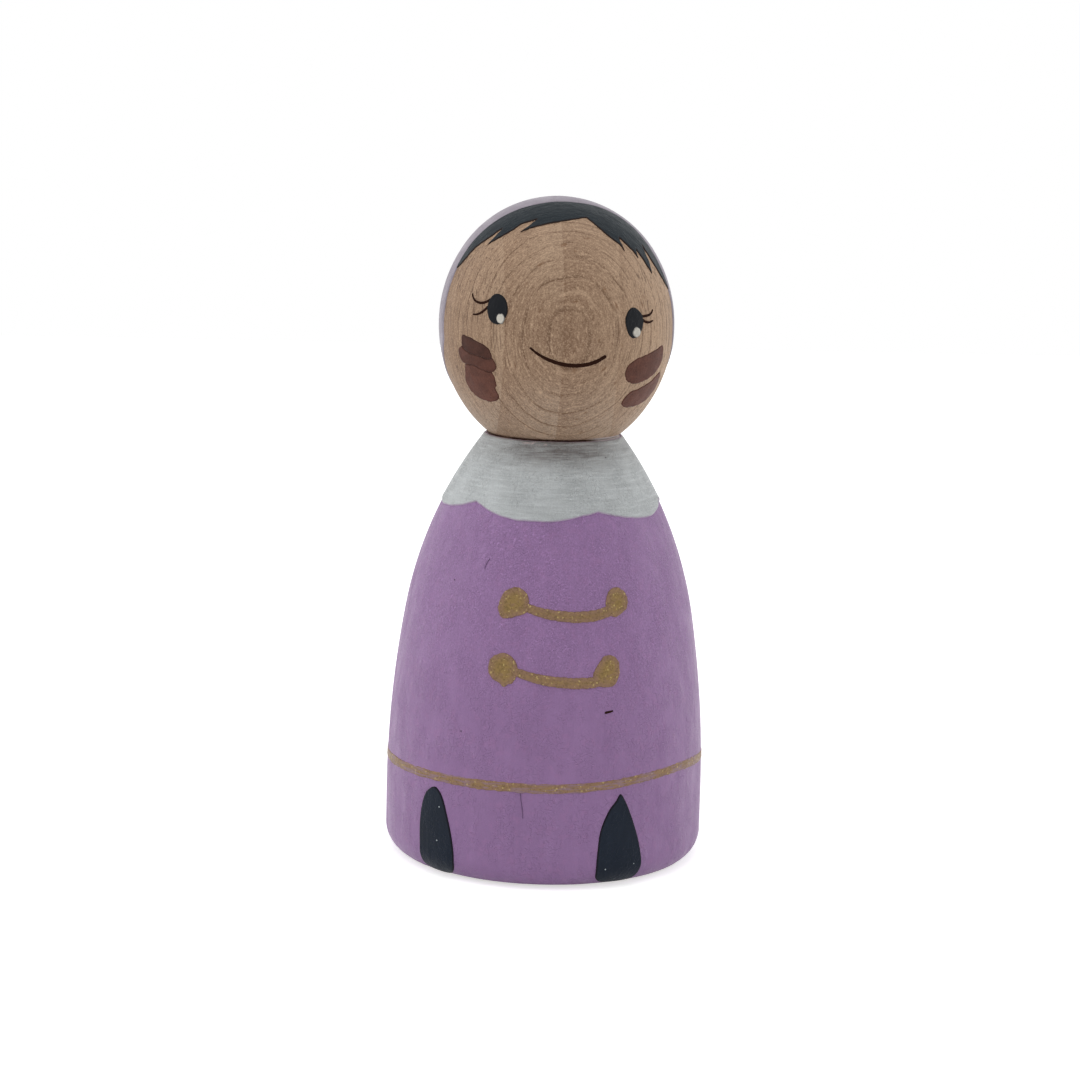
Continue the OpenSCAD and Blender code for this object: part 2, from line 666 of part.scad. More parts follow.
module cheek_right_mid() {
    color("#6b4a3f") on_cheek(-cheek_azimuth) difference() {
        cheek_outline(cheek_right_mid_shares);
        cheek_outline(cheek_right_top_shares);
    }
}

module cheek_right_low() {
    color("#755346") on_cheek(-cheek_azimuth) difference() {
        cheek_outline(cheek_right_low_shares);
        cheek_outline(cheek_right_mid_shares);
    }
}

module cheek_left_top() {
    color("#6d564b") on_cheek(cheek_azimuth) cheek_outline(cheek_left_top_shares);
}

module cheek_left_low() {
    color("#7a6053") on_cheek(cheek_azimuth) cheek_outline(cheek_left_low_shares);
}

body();
head();
neck_dowel();
coat_paint();
collar_paint();
upper_frog();
lower_frog();
hem_band();
boot_right();
boot_left();
hood_paint();
hair();
eye_right();
eye_left();
eye_highlight_right();
eye_highlight_left();
lashes_right();
lashes_left();
smile();
cheek_right_top();
cheek_right_mid();
cheek_right_low();
cheek_left_top();
cheek_left_low();
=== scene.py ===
"""Looks of a painted wooden peg doll: the turned wood, the coats of paint laid on it, and a plain stage.

Sizes in the code are in millimetres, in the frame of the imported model: +Z is the turning axis, the doll faces -Y,
and an azimuth is measured from the front towards the doll's left. A length leaves for Blender times MM.
"""

import math

import bpy
import numpy as np
from bpy.props import FloatProperty, FloatVectorProperty, IntProperty, PointerProperty
from mathutils import Matrix, Vector


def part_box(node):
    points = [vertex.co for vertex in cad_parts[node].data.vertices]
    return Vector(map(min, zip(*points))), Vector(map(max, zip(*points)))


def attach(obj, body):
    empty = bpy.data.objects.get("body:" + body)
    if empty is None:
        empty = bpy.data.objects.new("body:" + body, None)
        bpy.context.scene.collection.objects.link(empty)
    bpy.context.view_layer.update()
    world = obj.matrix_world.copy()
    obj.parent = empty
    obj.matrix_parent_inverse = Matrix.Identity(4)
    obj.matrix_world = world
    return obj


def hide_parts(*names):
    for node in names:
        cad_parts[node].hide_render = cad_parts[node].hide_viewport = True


bl_info = {
    "name": "Painted Peg Doll",
    "version": (1, 0, 0),
    "blender": (4, 5, 0),
    "location": "View3D > Sidebar > Peg Doll",
    "description": "Turns a wooden peg doll and lays its coats of paint, one over the other",
    "category": "Add Mesh",
}

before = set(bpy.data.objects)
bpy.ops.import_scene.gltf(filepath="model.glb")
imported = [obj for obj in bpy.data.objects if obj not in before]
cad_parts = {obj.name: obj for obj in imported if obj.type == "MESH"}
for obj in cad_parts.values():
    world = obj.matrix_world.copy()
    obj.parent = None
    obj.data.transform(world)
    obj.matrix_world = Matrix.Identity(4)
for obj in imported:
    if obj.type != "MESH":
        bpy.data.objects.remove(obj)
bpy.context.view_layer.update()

MM = 0.001


def linear(hex_colour):
    """Linear colour of an sRGB hex value."""
    parts = [int(hex_colour[i:i + 2], 16) / 255 for i in (1, 3, 5)]
    return tuple(c / 12.92 if c <= 0.04045 else ((c + 0.055) / 1.055) ** 2.4 for c in parts)


def cad_size(node, axis):
    """Size of a CAD node along an axis, in millimetres."""
    low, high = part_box(node)
    return (high[axis] - low[axis]) / MM


def length(label, value, about):
    return FloatProperty(name=label, description=about, default=value * MM, min=0, unit="LENGTH", precision=5)


def angle(label, degrees, about):
    return FloatProperty(name=label, description=about, default=math.radians(degrees), subtype="ANGLE")


def colour(label, hex_colour, about):
    return FloatVectorProperty(name=label, description=about, default=linear(hex_colour), subtype="COLOR", size=3)


NECK_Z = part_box("head")[0].z / MM


class PegDollSizes(bpy.types.PropertyGroup):
    """Sizes of the turned wood and the paint."""

    body_width: length("Body width", cad_size("body", 0), "Diameter of the bare body at its widest")
    belly_height: length("Belly height", 8.5, "Height at which the side starts to lean in")
    neck_width: length("Neck width", 17.9, "Diameter of the body at the neck")
    side_lean: angle("Side lean", 9.8, "Lean of the side where it meets the shoulder")
    shoulder_lean: angle("Shoulder lean", 37.6, "Lean of the shoulder at the neck")
    foot_round: length("Foot round", 3.3, "Radius that rounds the bottom edge")
    head_width: length("Head width", cad_size("head", 0), "Diameter of the bare head at its widest")
    crown_height: length("Crown height", 17.1, "From the widest place up to the crown")
    chin_height: length("Chin height", 14.85, "From the neck up to the widest place")
    seat_width: length("Seat width", 17.4, "Diameter of the flat seat under the head")
    neck_bevel: length("Neck bevel", 0.1, "Bevel on both edges that meet at the neck")
    scallop: length("Scallop", 1.55, "Height of a common scallop of the collar")
    fastening_width: length("Fastening width", 13.5, "Distance between the dots of a fastening")
    fastening_sag: length("Fastening sag", 1.75, "Sag of the bar between the dots")
    bar_width: length("Bar width", 1.4, "Width of the bar at its middle")
    big_dot: length("Big dot", 3.9, "Diameter of the dots on the doll's right")
    small_dot: length("Small dot", 3.3, "Diameter of the dots on the doll's left")
    hem_height: length("Hem height", 13.8, "Height of the gold line round the skirt")
    hem_width: length("Hem width", 1.2, "Width of the gold line round the skirt")
    boot_gap: length("Boot gap", 0.9, "Gap between the hem and the top of a boot")
    boot_right_width: length("Right boot width", 6.0, "Width of the right boot")
    boot_left_width: length("Left boot width", 6.8, "Width of the left boot")
    hood_front: length("Hood front", 4.0, "Distance from the turning axis forward to the hood's edge beside the face")
    hood_sweep: length("Hood sweep", 3.3, "Height above the widest place at which the hood's edge turns back")
    hood_nape: length("Hood nape", 4.0, "Distance behind the turning axis at which the hood's edge ends")
    eye_turn: angle("Eye turn", 0.8, "Turn of both eyes together towards the doll's right")
    eye_width: length("Eye width", 3.1, "Width of an eye")
    eye_height: length("Eye height", 4.0, "Height of an eye")
    smile_width: length("Smile width", 9.7, "Width of the smile")
    smile_sag: length("Smile sag", 2.1, "Depth of the smile")
    paint_foot: length("Paint foot", 0.3, "Height above the table at which the paint stops")
    coat: length("Coat", 0.15, "Thickness of the lilac coat")
    collar: length("Collar", 0.2, "Thickness of the white collar")
    gold: length("Gold", 0.13, "Thickness of the gold paint")
    dark: length("Dark paint", 0.12, "Thickness of the boots, the hair and the eyes")
    hood: length("Hood", 0.13, "Thickness of the hood")
    line: length("Fine lines", 0.09, "Thickness of the lashes, the smile and the highlights")
    stain: length("Cheek strokes", 0.06, "Thickness of the thin cheek strokes")
    ring_width: length("Ring width", 1.35, "Distance between the growth rings")
    turn_steps: IntProperty(name="Turn steps", description="Faces round the turned wood", default=400, min=32)


class PegDollColours(bpy.types.PropertyGroup):
    """Colours of the wood and the paint."""

    wood: colour("Wood", "#b99d83", "Bare sanded wood")
    wood_dark: colour("Late wood", "#86674f", "Dark side of a growth ring")
    coat: colour("Coat", "#94719f", "Lilac coat on the body")
    collar: colour("Collar", "#b9bdbe", "White collar")
    gold: colour("Gold", "#8c7345", "Gold fastenings and hem")
    boots: colour("Boots", "#161f2c", "Boots")
    hood: colour("Hood", "#978e99", "Lilac-grey hood")
    hair: colour("Hair", "#1a2329", "Hair")
    eyes: colour("Eyes", "#0c0f15", "Eyes")
    highlights: colour("Highlights", "#cbc6bb", "Dots on the eyes")
    lines: colour("Fine lines", "#2a150d", "Lashes and smile")
    cheeks: colour("Cheeks", "#5d3a30", "Thin brown strokes on the cheeks")


def sizes():
    return bpy.context.scene.peg_doll_sizes


def colours():
    return bpy.context.scene.peg_doll_colours


def mm(name):
    """Size of that name, in millimetres."""
    return getattr(sizes(), name) / MM


# Turned forms. A form is a list of arcs from the bottom up: the arc's centre (from the axis, and its height),
# its radius, and the turns between which it runs, in radians above level.

CROWN_TURN = math.radians(35)
CHIN_TURN = math.radians(37)
CHIN_LEAN = math.radians(53)


def arc_pair(run, rise, lean_a, lean_b):
    """Radii of two arcs that start upright, lean to lean_a and on to lean_b, and go in by run and along by rise."""
    in_a, in_b = 1 - math.cos(lean_a), math.cos(lean_a) - math.cos(lean_b)
    up_a, up_b = math.sin(lean_a), math.sin(lean_b) - math.sin(lean_a)
    scale = in_a * up_b - in_b * up_a
    return (run * up_b - rise * in_b) / scale, (rise * in_a - run * up_a) / scale


def body_form():
    wide, low = mm("body_width") / 2, mm("belly_height")
    foot, lean = mm("foot_round"), sizes().side_lean
    side, shoulder = arc_pair(wide - mm("neck_width") / 2, NECK_Z - low, lean, sizes().shoulder_lean)
    step = side - shoulder
    return [
        (wide - foot, foot, foot, -math.pi / 2, 0),
        (wide - side, low, side, 0, lean),
        (wide - side + step * math.cos(lean), low + step * math.sin(lean), shoulder, lean, sizes().shoulder_lean),
    ]


def head_middle():
    """Height of the head's widest place."""
    return NECK_Z + mm("chin_height")


def head_form():
    wide, middle = mm("head_width") / 2, head_middle()
    temple, crown = arc_pair(wide, mm("crown_height"), CROWN_TURN, math.pi / 2)
    jaw, chin = arc_pair(wide - mm("seat_width") / 2, mm("chin_height"), CHIN_TURN, CHIN_LEAN)
    up, down = temple - crown, jaw - chin
    jaw_in, temple_in = wide - jaw, wide - temple
    return [
        (jaw_in + down * math.cos(CHIN_TURN), middle - down * math.sin(CHIN_TURN), chin, -CHIN_LEAN, -CHIN_TURN),
        (jaw_in, middle, jaw, -CHIN_TURN, 0),
        (temple_in, middle, temple, 0, CROWN_TURN),
        (temple_in + up * math.cos(CROWN_TURN), middle + up * math.sin(CROWN_TURN), crown, CROWN_TURN, math.pi / 2),
    ]


def side_at_height(form, z):
    """Radius of a form at each height, and the outward and upward parts of its normal there."""
    radius, outward, upward = np.zeros_like(z), np.ones_like(z), np.zeros_like(z)
    reached = -np.inf
    for centre_r, centre_z, r, start, end in form:
        low, high = centre_z + r * math.sin(start), centre_z + r * math.sin(end)
        here = z >= reached
        rise = np.clip(z[here], low, high) - centre_z
        root = np.sqrt(np.maximum(r * r - rise * rise, 0))
        radius[here], outward[here], upward[here] = centre_r + root, root / r, rise / r
        reached = high
    return radius, outward, upward


def side_at_turn(form, turn):
    """Radius and height of a form at each turn of its normal."""
    radius, z = np.zeros_like(turn), np.zeros_like(turn)
    for centre_r, centre_z, r, start, end in form:
        here = turn >= start
        radius[here] = centre_r + r * np.cos(turn[here])
        z[here] = centre_z + r * np.sin(turn[here])
    return np.maximum(radius, 0), z


def form_points(form, grow, spacing=0.3):
    """Points up the side of a form grown by a thickness."""
    points = []
    for centre_r, centre_z, r, first, last in form:
        count = max(4, math.ceil(r * (last - first) / spacing))
        for k in range(count + 1):
            turn = first + (last - first) * k / count
            point = (max(0.0, centre_r + (r + grow) * math.cos(turn)), centre_z + (r + grow) * math.sin(turn))
            if not points or math.dist(points[-1], point) > spacing / 10:
                points.append(point)
    return points


# Unevenness that the lathe, the grain and the brush leave, from a smooth noise on a fixed table.

NOISE_SIDE = 48
NOISE = np.random.default_rng(11).uniform(-1, 1, (NOISE_SIDE,) * 3)
# Direction square to the sheets of the growth rings: straight ahead
RING_WAY = (0.008, -0.9998, -0.02)


def smooth_noise(points, cell):
    """Noise between -1 and 1 at each point, with a cell size along each axis."""
    scaled = points / np.asarray(cell)
    corner = np.floor(scaled).astype(int)
    part = scaled - corner
    part = part * part * (3 - 2 * part)
    total = np.zeros(len(points))
    for i in (0, 1):
        for j in (0, 1):
            for k in (0, 1):
                weight = (part[:, 0] if i else 1 - part[:, 0]) * (part[:, 1] if j else 1 - part[:, 1])
                weight = weight * (part[:, 2] if k else 1 - part[:, 2])
                at = (corner + (i, j, k)) % NOISE_SIDE
                total += weight * NOISE[at[:, 0], at[:, 1], at[:, 2]]
    return total


def grain_relief(points):
    """Height of the raised grain that every coat follows: ridges along the growth rings, broken up."""
    depth = points @ np.asarray(RING_WAY)
    sheets = np.stack([depth, points[:, 0], points[:, 2]], 1)
    return 0.012 * smooth_noise(sheets, (0.45, 2.4, 2.8)) + 0.012 * smooth_noise(points, (4, 4, 6))


# Charts. A chart lays flat coordinates, in millimetres, on a form, and gives points and outward normals.

UP = np.array([0, 0, 1])


def outward_at(azimuth):
    return np.stack([np.sin(azimuth), -np.cos(azimuth), np.zeros_like(azimuth)], 1)


def on_form(radial, radius, z, outward, upward):
    """Points and normals, from their parts along the radial directions and upwards."""
    return radial * radius[:, None] + UP * z[:, None], radial * outward[:, None] + UP * upward[:, None]


def front_chart(form, azimuth, height):
    """Seen straight on from an azimuth, about a height."""
    across = np.array([math.cos(azimuth), math.sin(azimuth), 0])
    ahead = np.array([math.sin(azimuth), -math.cos(azimuth), 0])

    def place(u, v):
        radius, outward, upward = side_at_height(form, height + v)
        depth = np.sqrt(np.maximum(radius ** 2 - u ** 2, 0))
        radial = (across * u[:, None] + ahead * depth[:, None]) / radius[:, None]
        return on_form(radial, radius, height + v, outward, upward)

    return place


def round_chart(form, reach):
    """Wrapped round the axis at a reach from it: u goes round, v is the height."""
    def place(u, v):
        radius, outward, upward = side_at_height(form, v)
        return on_form(outward_at(u / reach), radius, v, outward, upward)

    return place


def dome_chart(form, reach):
    """Wrapped over a dome: u goes round the axis, v goes up with the turn of the normal."""
    def place(u, v):
        turn = np.minimum(v / reach, math.pi / 2)
        radius, z = side_at_turn(form, turn)
        return on_form(outward_at(u / reach), radius, z, np.cos(turn), np.sin(turn))

    return place


# Outlines. Each function gives the distance of points from an edge, positive inside.

def smooth_loop(points):
    """Closed smooth outline through a list of points, with steps between two of them."""
    p, steps = np.asarray(points, float), 5
    a, b, c, d = np.roll(p, 1, 0), p, np.roll(p, -1, 0), np.roll(p, -2, 0)
    t = (np.arange(steps) / steps)[None, :, None]
    a, b, c, d = (x[:, None, :] for x in (a, b, c, d))
    bend, twist = 2 * a - 5 * b + 4 * c - d, 3 * b - a - 3 * c + d
    curve = (2 * b + (c - a) * t + bend * t ** 2 + twist * t ** 3) / 2
    return curve.reshape(-1, 2)


def in_loop(u, v, loop):
    """Distance from a closed outline."""
    start, end = loop, np.roll(loop, -1, 0)
    way = end - start
    flat = np.maximum((way ** 2).sum(1), 1e-12)
    best, crossings = np.full(len(u), np.inf), np.zeros(len(u), int)
    for (au, av), (bu, bv), (wu, wv), size in zip(start, end, way, flat):
        t = np.clip(((u - au) * wu + (v - av) * wv) / size, 0, 1)
        best = np.minimum(best, np.hypot(u - au - t * wu, v - av - t * wv))
        if av != bv:
            crossings += ((av > v) != (bv > v)) & (u < (bu - au) * (v - av) / (bv - av) + au)
    return np.where(crossings % 2 == 1, best, -best)


def curve_points(controls, count=48):
    """Points along a curve with four control points."""
    p = np.asarray(controls, float)
    t = np.linspace(0, 1, count)[:, None]
    return (1 - t) ** 3 * p[0] + 3 * (1 - t) ** 2 * t * p[1] + 3 * (1 - t) * t ** 2 * p[2] + t ** 3 * p[3]


def in_stroke(u, v, controls, widths):
    """Distance from the edge of a brush stroke with a width at its start, middle and end."""
    points = curve_points(controls)
    t = np.linspace(0, 1, len(points))
    start, middle, end = widths
    halves = (start * (1 - t) * (1 - 2 * t) + middle * 4 * t * (1 - t) + end * t * (2 * t - 1)) / 2
    best = np.full(len(u), -np.inf)
    for (x, y), half in zip(points, halves):
        best = np.maximum(best, half - np.hypot(u - x, v - y))
    return best


def stretched(shares, w, h):
    return np.asarray(shares, float) * (w, h)


def ragged_edge(u, v, height, cell):
    """Unevenness of a brushed edge on a chart."""
    return height * smooth_noise(np.stack([u, v, u * 0], 1), (cell, cell, 1))


def spans_round(points, margin):
    """Spans of a chart that hold some points with a margin."""
    return tuple((points[:, i].min() - margin, points[:, i].max() + margin) for i in (0, 1))


# Mesh tools.

def deselect():
    for item in bpy.context.selected_objects:
        item.select_set(False)


def start_piece(name):
    """Takes the primitive that was just added and names it."""
    piece = bpy.context.object
    piece.name = name
    piece.data.name = name
    return piece


def points_of(piece):
    flat = np.zeros(len(piece.data.vertices) * 3)
    piece.data.vertices.foreach_get("co", flat)
    return flat.reshape(-1, 3)


def set_points(piece, points):
    piece.data.vertices.foreach_set("co", np.ascontiguousarray(points, float).ravel())
    piece.data.update()


def select_only(piece, kind, chosen):
    """Selects only some of a piece's vertices, edges or polygons."""
    for name in ("vertices", "edges", "polygons"):
        parts = getattr(piece.data, name)
        parts.foreach_set("select", chosen if name == kind else np.zeros(len(parts), bool))


def turn_on_lathe(name, outline, steps, closed):
    """Turned piece from an outline of (distance from the axis, height), closed or with both ends on the axis."""
    deselect()
    bpy.ops.mesh.primitive_circle_add(vertices=len(outline), fill_type="NOTHING")
    piece = start_piece(name)
    set_points(piece, np.array([(r, 0, z) for r, z in outline]) * MM)
    if not closed:
        closing = [set(edge.vertices) == {0, len(outline) - 1} for edge in piece.data.edges]
        select_only(piece, "edges", closing)
        bpy.ops.object.mode_set(mode="EDIT")
        bpy.ops.mesh.select_mode(type="EDGE")
        bpy.ops.mesh.delete(type="EDGE_FACE")
        bpy.ops.object.mode_set(mode="OBJECT")
    bpy.ops.object.mode_set(mode="EDIT")
    bpy.ops.mesh.select_mode(type="VERT")
    bpy.ops.mesh.select_all(action="SELECT")
    bpy.ops.mesh.spin(steps=steps, angle=2 * math.pi, center=(0, 0, 0), axis=(0, 0, 1))
    bpy.ops.mesh.select_all(action="SELECT")
    bpy.ops.mesh.remove_doubles(threshold=0.004 * MM)
    bpy.ops.mesh.normals_make_consistent(inside=False)
    bpy.ops.object.mode_set(mode="OBJECT")
    return piece


def roughen(piece, form, grow, strength=1.0):
    """Moves the points of a turned piece that lie on a form's outer side by the relief of the grain."""
    points = points_of(piece) / MM
    reach = np.hypot(points[:, 0], points[:, 1])
    radius, outward, upward = side_at_height(form, points[:, 2])
    on_side = (np.abs(reach - radius - grow / np.maximum(outward, 0.3)) < 0.06) & (reach > 0.5)
    radial = points[:, :2] / np.maximum(reach, 1e-6)[:, None]
    normal = np.concatenate([radial * outward[:, None], upward[:, None]], 1)
    points += normal * (strength * grain_relief(points) * on_side)[:, None]
    set_points(piece, points * MM)


def finish_piece(piece, material, slot, *nodes):
    """Gives a piece its material, its body and the CAD nodes that it stands for, which it hides; the slot is not used.
    """
    deselect()
    piece.select_set(True)
    bpy.context.view_layer.objects.active = piece
    bpy.ops.object.shade_smooth_by_angle(angle=math.radians(50))
    piece.data.materials.clear()
    piece.data.materials.append(material)
    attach(piece, "root")
    if nodes:
        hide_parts(*nodes)


def laid_height(d, full, roll, bead):
    """Height of wet paint at a distance from its edge: a rounded edge, a proud bead and a flat middle."""
    edge = np.clip(d / roll, 0, 1)
    return full * (np.sqrt(1 - (1 - edge) ** 2) + bead * edge * np.exp(-(((d - roll) / roll) ** 2)))


def lay_paint(name, place, inside, spans, step, full, under=0.0, roll=0.12, bead=0.15, ring=False):
    """A coat of paint as a thin closed solid on a chart, where the distance function inside is positive."""
    (low_u, high_u), (low_v, high_v) = spans
    count_u, count_v = math.ceil((high_u - low_u) / step), math.ceil((high_v - low_v) / step)
    deselect()
    bpy.ops.mesh.primitive_grid_add(x_subdivisions=count_u, y_subdivisions=count_v, size=2)
    piece = start_piece(name)
    flat = points_of(piece)
    u = low_u + (flat[:, 0] + 1) / 2 * (high_u - low_u)
    v = low_v + (flat[:, 1] + 1) / 2 * (high_v - low_v)
    d = inside(u, v)
    wet = d > 0
    snap = ~wet & (d > -2.2 * step)
    su, sv, probe = u[snap], v[snap], step / 5
    for _ in range(4):
        away = inside(su, sv)
        slope_u = (inside(su + probe, sv) - inside(su - probe, sv)) / (2 * probe)
        slope_v = (inside(su, sv + probe) - inside(su, sv - probe)) / (2 * probe)
        pull = np.clip(away, -step, step) / np.maximum(slope_u ** 2 + slope_v ** 2, 0.25)
        su, sv = su - pull * slope_u, sv - pull * slope_v
    u[snap], v[snap] = su, np.clip(sv, low_v, high_v)
    d = np.where(snap, 0, np.maximum(d, 0))
    base, normal = place(u, v)
    ground = under + grain_relief(base)
    top = base + normal * (ground + laid_height(d, full, roll, bead))[:, None]
    floor = base + normal * (ground - 0.01)[:, None]
    set_points(piece, top * MM)
    for label, kind, field, values in (("edge", "FLOAT", "value", d), ("floor", "FLOAT_VECTOR", "vector", floor * MM)):
        layer = piece.data.attributes.new(label, kind, "POINT")
        layer.data.foreach_set(field, np.ascontiguousarray(values, np.float32).ravel())
    corners = np.zeros(len(piece.data.loops), int)
    piece.data.loops.foreach_get("vertex_index", corners)
    dry = ~wet[corners.reshape(-1, 4)].any(1)
    select_only(piece, "polygons", dry)
    bpy.ops.object.mode_set(mode="EDIT")
    bpy.ops.mesh.select_mode(type="FACE")
    bpy.ops.mesh.delete(type="FACE")
    bpy.ops.mesh.select_mode(type="VERT")
    bpy.ops.mesh.select_all(action="SELECT")
    bpy.ops.mesh.remove_doubles(threshold=(0.004 if ring else 0.001) * MM)
    bpy.ops.object.mode_set(mode="OBJECT")
    wall = piece.modifiers.new("Wall", "SOLIDIFY")
    wall.thickness = full * MM
    wall.offset = -1
    bpy.ops.object.modifier_apply(modifier=wall.name)
    points = points_of(piece)
    half = len(points) // 2
    layer = piece.data.attributes["floor"]
    floor = np.zeros(len(points) * 3, np.float32)
    layer.data.foreach_get("vector", floor)
    points[half:] = floor.reshape(-1, 3)[half:]
    set_points(piece, points)
    piece.data.attributes.remove(layer)
    return piece


# Materials. Sizes in millimetres: cells of the grain's flecks and of the sanded surface's grit, the distance of the
# tree's heart behind the doll and the waviness of its rings, and the width and start of the wood's tonal bands. Flakes
# of gold are 0.05 mm in fact, and are drawn 0.2 mm across so that they show.

FLECK_CELLS = (0.12, 0.5, 0.7)
GRIT_CELLS = (0.16, 0.16, 0.2)
HEART_BEHIND = 70
RING_BEND = 1.4
BAND_WIDTH, BAND_START = 7.5, 0.72
FLAKE = 0.2


def add_node(tree, kind, settings=None, **inputs):
    """Adds a node with its settings. An input is named, or numbered as in i0, and is linked or set."""
    made = tree.nodes.new(kind)
    for name, value in (settings or {}).items():
        setattr(made, name, value)
    for name, value in inputs.items():
        numbered = name[0] == "i" and name[1:].isdigit()
        socket = made.inputs[int(name[1:])] if numbered else made.inputs[name.replace("_", " ")]
        if isinstance(value, bpy.types.NodeSocket):
            tree.links.new(value, socket)
        else:
            socket.default_value = value
    return made


def scaled(tree, place, gain):
    return add_node(tree, "ShaderNodeVectorMath", {"operation": "SCALE"}, i0=place, Scale=gain).outputs[0]


def new_material(name):
    """Empty material with its output, and the object's place in millimetres."""
    material = bpy.data.materials.new(name)
    material.use_nodes = True
    tree = material.node_tree
    tree.nodes.clear()
    place = add_node(tree, "ShaderNodeTexCoord").outputs["Object"]
    return material, tree, scaled(tree, place, 1 / MM)


def stretched_noise(tree, place, cells, detail=2.0, roughness=0.55):
    """Noise with a cell size in millimetres along each axis, from 0 to 1."""
    near = add_node(tree, "ShaderNodeVectorMath", {"operation": "DIVIDE"}, i0=place, i1=cells).outputs[0]
    noise = add_node(tree, "ShaderNodeTexNoise", Vector=near, Scale=1.0, Detail=detail, Roughness=roughness)
    return noise.outputs["Fac"]


def levels(tree, value, low, high, out_low=0.0, out_high=1.0):
    """Stretches the part of a value between low and high to new limits, smoothly."""
    made = add_node(tree, "ShaderNodeMapRange", {"interpolation_type": "SMOOTHSTEP"}, Value=value,
                    From_Min=low, From_Max=high, To_Min=out_low, To_Max=out_high)
    return made.outputs[0]


def arithmetic(tree, operation, a, b=0.0, c=0.0):
    return add_node(tree, "ShaderNodeMath", {"operation": operation}, i0=a, i1=b, i2=c).outputs[0]


def product(tree, first, *others):
    """Values multiplied one after the other."""
    for other in others:
        first = arithmetic(tree, "MULTIPLY", first, other)
    return first


def blended(tree, factor, a, b):
    return add_node(tree, "ShaderNodeMix", {"data_type": "RGBA"}, i0=factor, i6=a, i7=b).outputs[2]


def axes(tree, place):
    """The three parts of a place."""
    return add_node(tree, "ShaderNodeSeparateXYZ", Vector=place).outputs


def ring_place(tree, place):
    """Place seen from the growth rings: depth across their sheets, then sideways and up along them."""
    bend = stretched_noise(tree, place, (9.0, 9.0, 16.0), 2.0)
    depth = add_node(tree, "ShaderNodeVectorMath", {"operation": "DOT_PRODUCT"}, i0=place, i1=RING_WAY)
    parts = axes(tree, place)
    depth = arithmetic(tree, "ADD", depth.outputs["Value"], product(tree, parts[0], parts[0], -0.5 / HEART_BEHIND))
    depth = arithmetic(tree, "MULTIPLY_ADD", bend, RING_BEND, depth)
    return add_node(tree, "ShaderNodeCombineXYZ", X=depth, Y=parts[0], Z=parts[2]).outputs[0], depth


def shader(tree, base, roughness, normal, **settings):
    """Surface and output of a material."""
    surface = add_node(tree, "ShaderNodeBsdfPrincipled", Base_Color=base, Roughness=roughness, Normal=normal,
                       **settings)
    add_node(tree, "ShaderNodeOutputMaterial", Surface=surface.outputs[0])


def bump(tree, height, distance):
    """Normal of a surface whose height goes from 0 to 1 over a distance in millimetres."""
    return add_node(tree, "ShaderNodeBump", Height=height, Distance=distance * MM, Strength=1.0).outputs[0]


def rgba(value, gain=1.0):
    """Colour with its alpha, from a linear colour or an sRGB hex value, brightened by a gain."""
    parts = linear(value) if isinstance(value, str) else value
    return tuple(min(1.0, c * gain) for c in parts) + (1.0,)


def ruffled(tree, value, base, dark, light, strength, reach=0.2):
    """Tints a base with its own dark and light tones where a noise is high and low."""
    base = blended(tree, levels(tree, value, 0.5, 0.5 + reach, 0.0, strength), base, dark)
    return blended(tree, levels(tree, value, 0.5, 0.5 - reach, 0.0, strength), base, light)


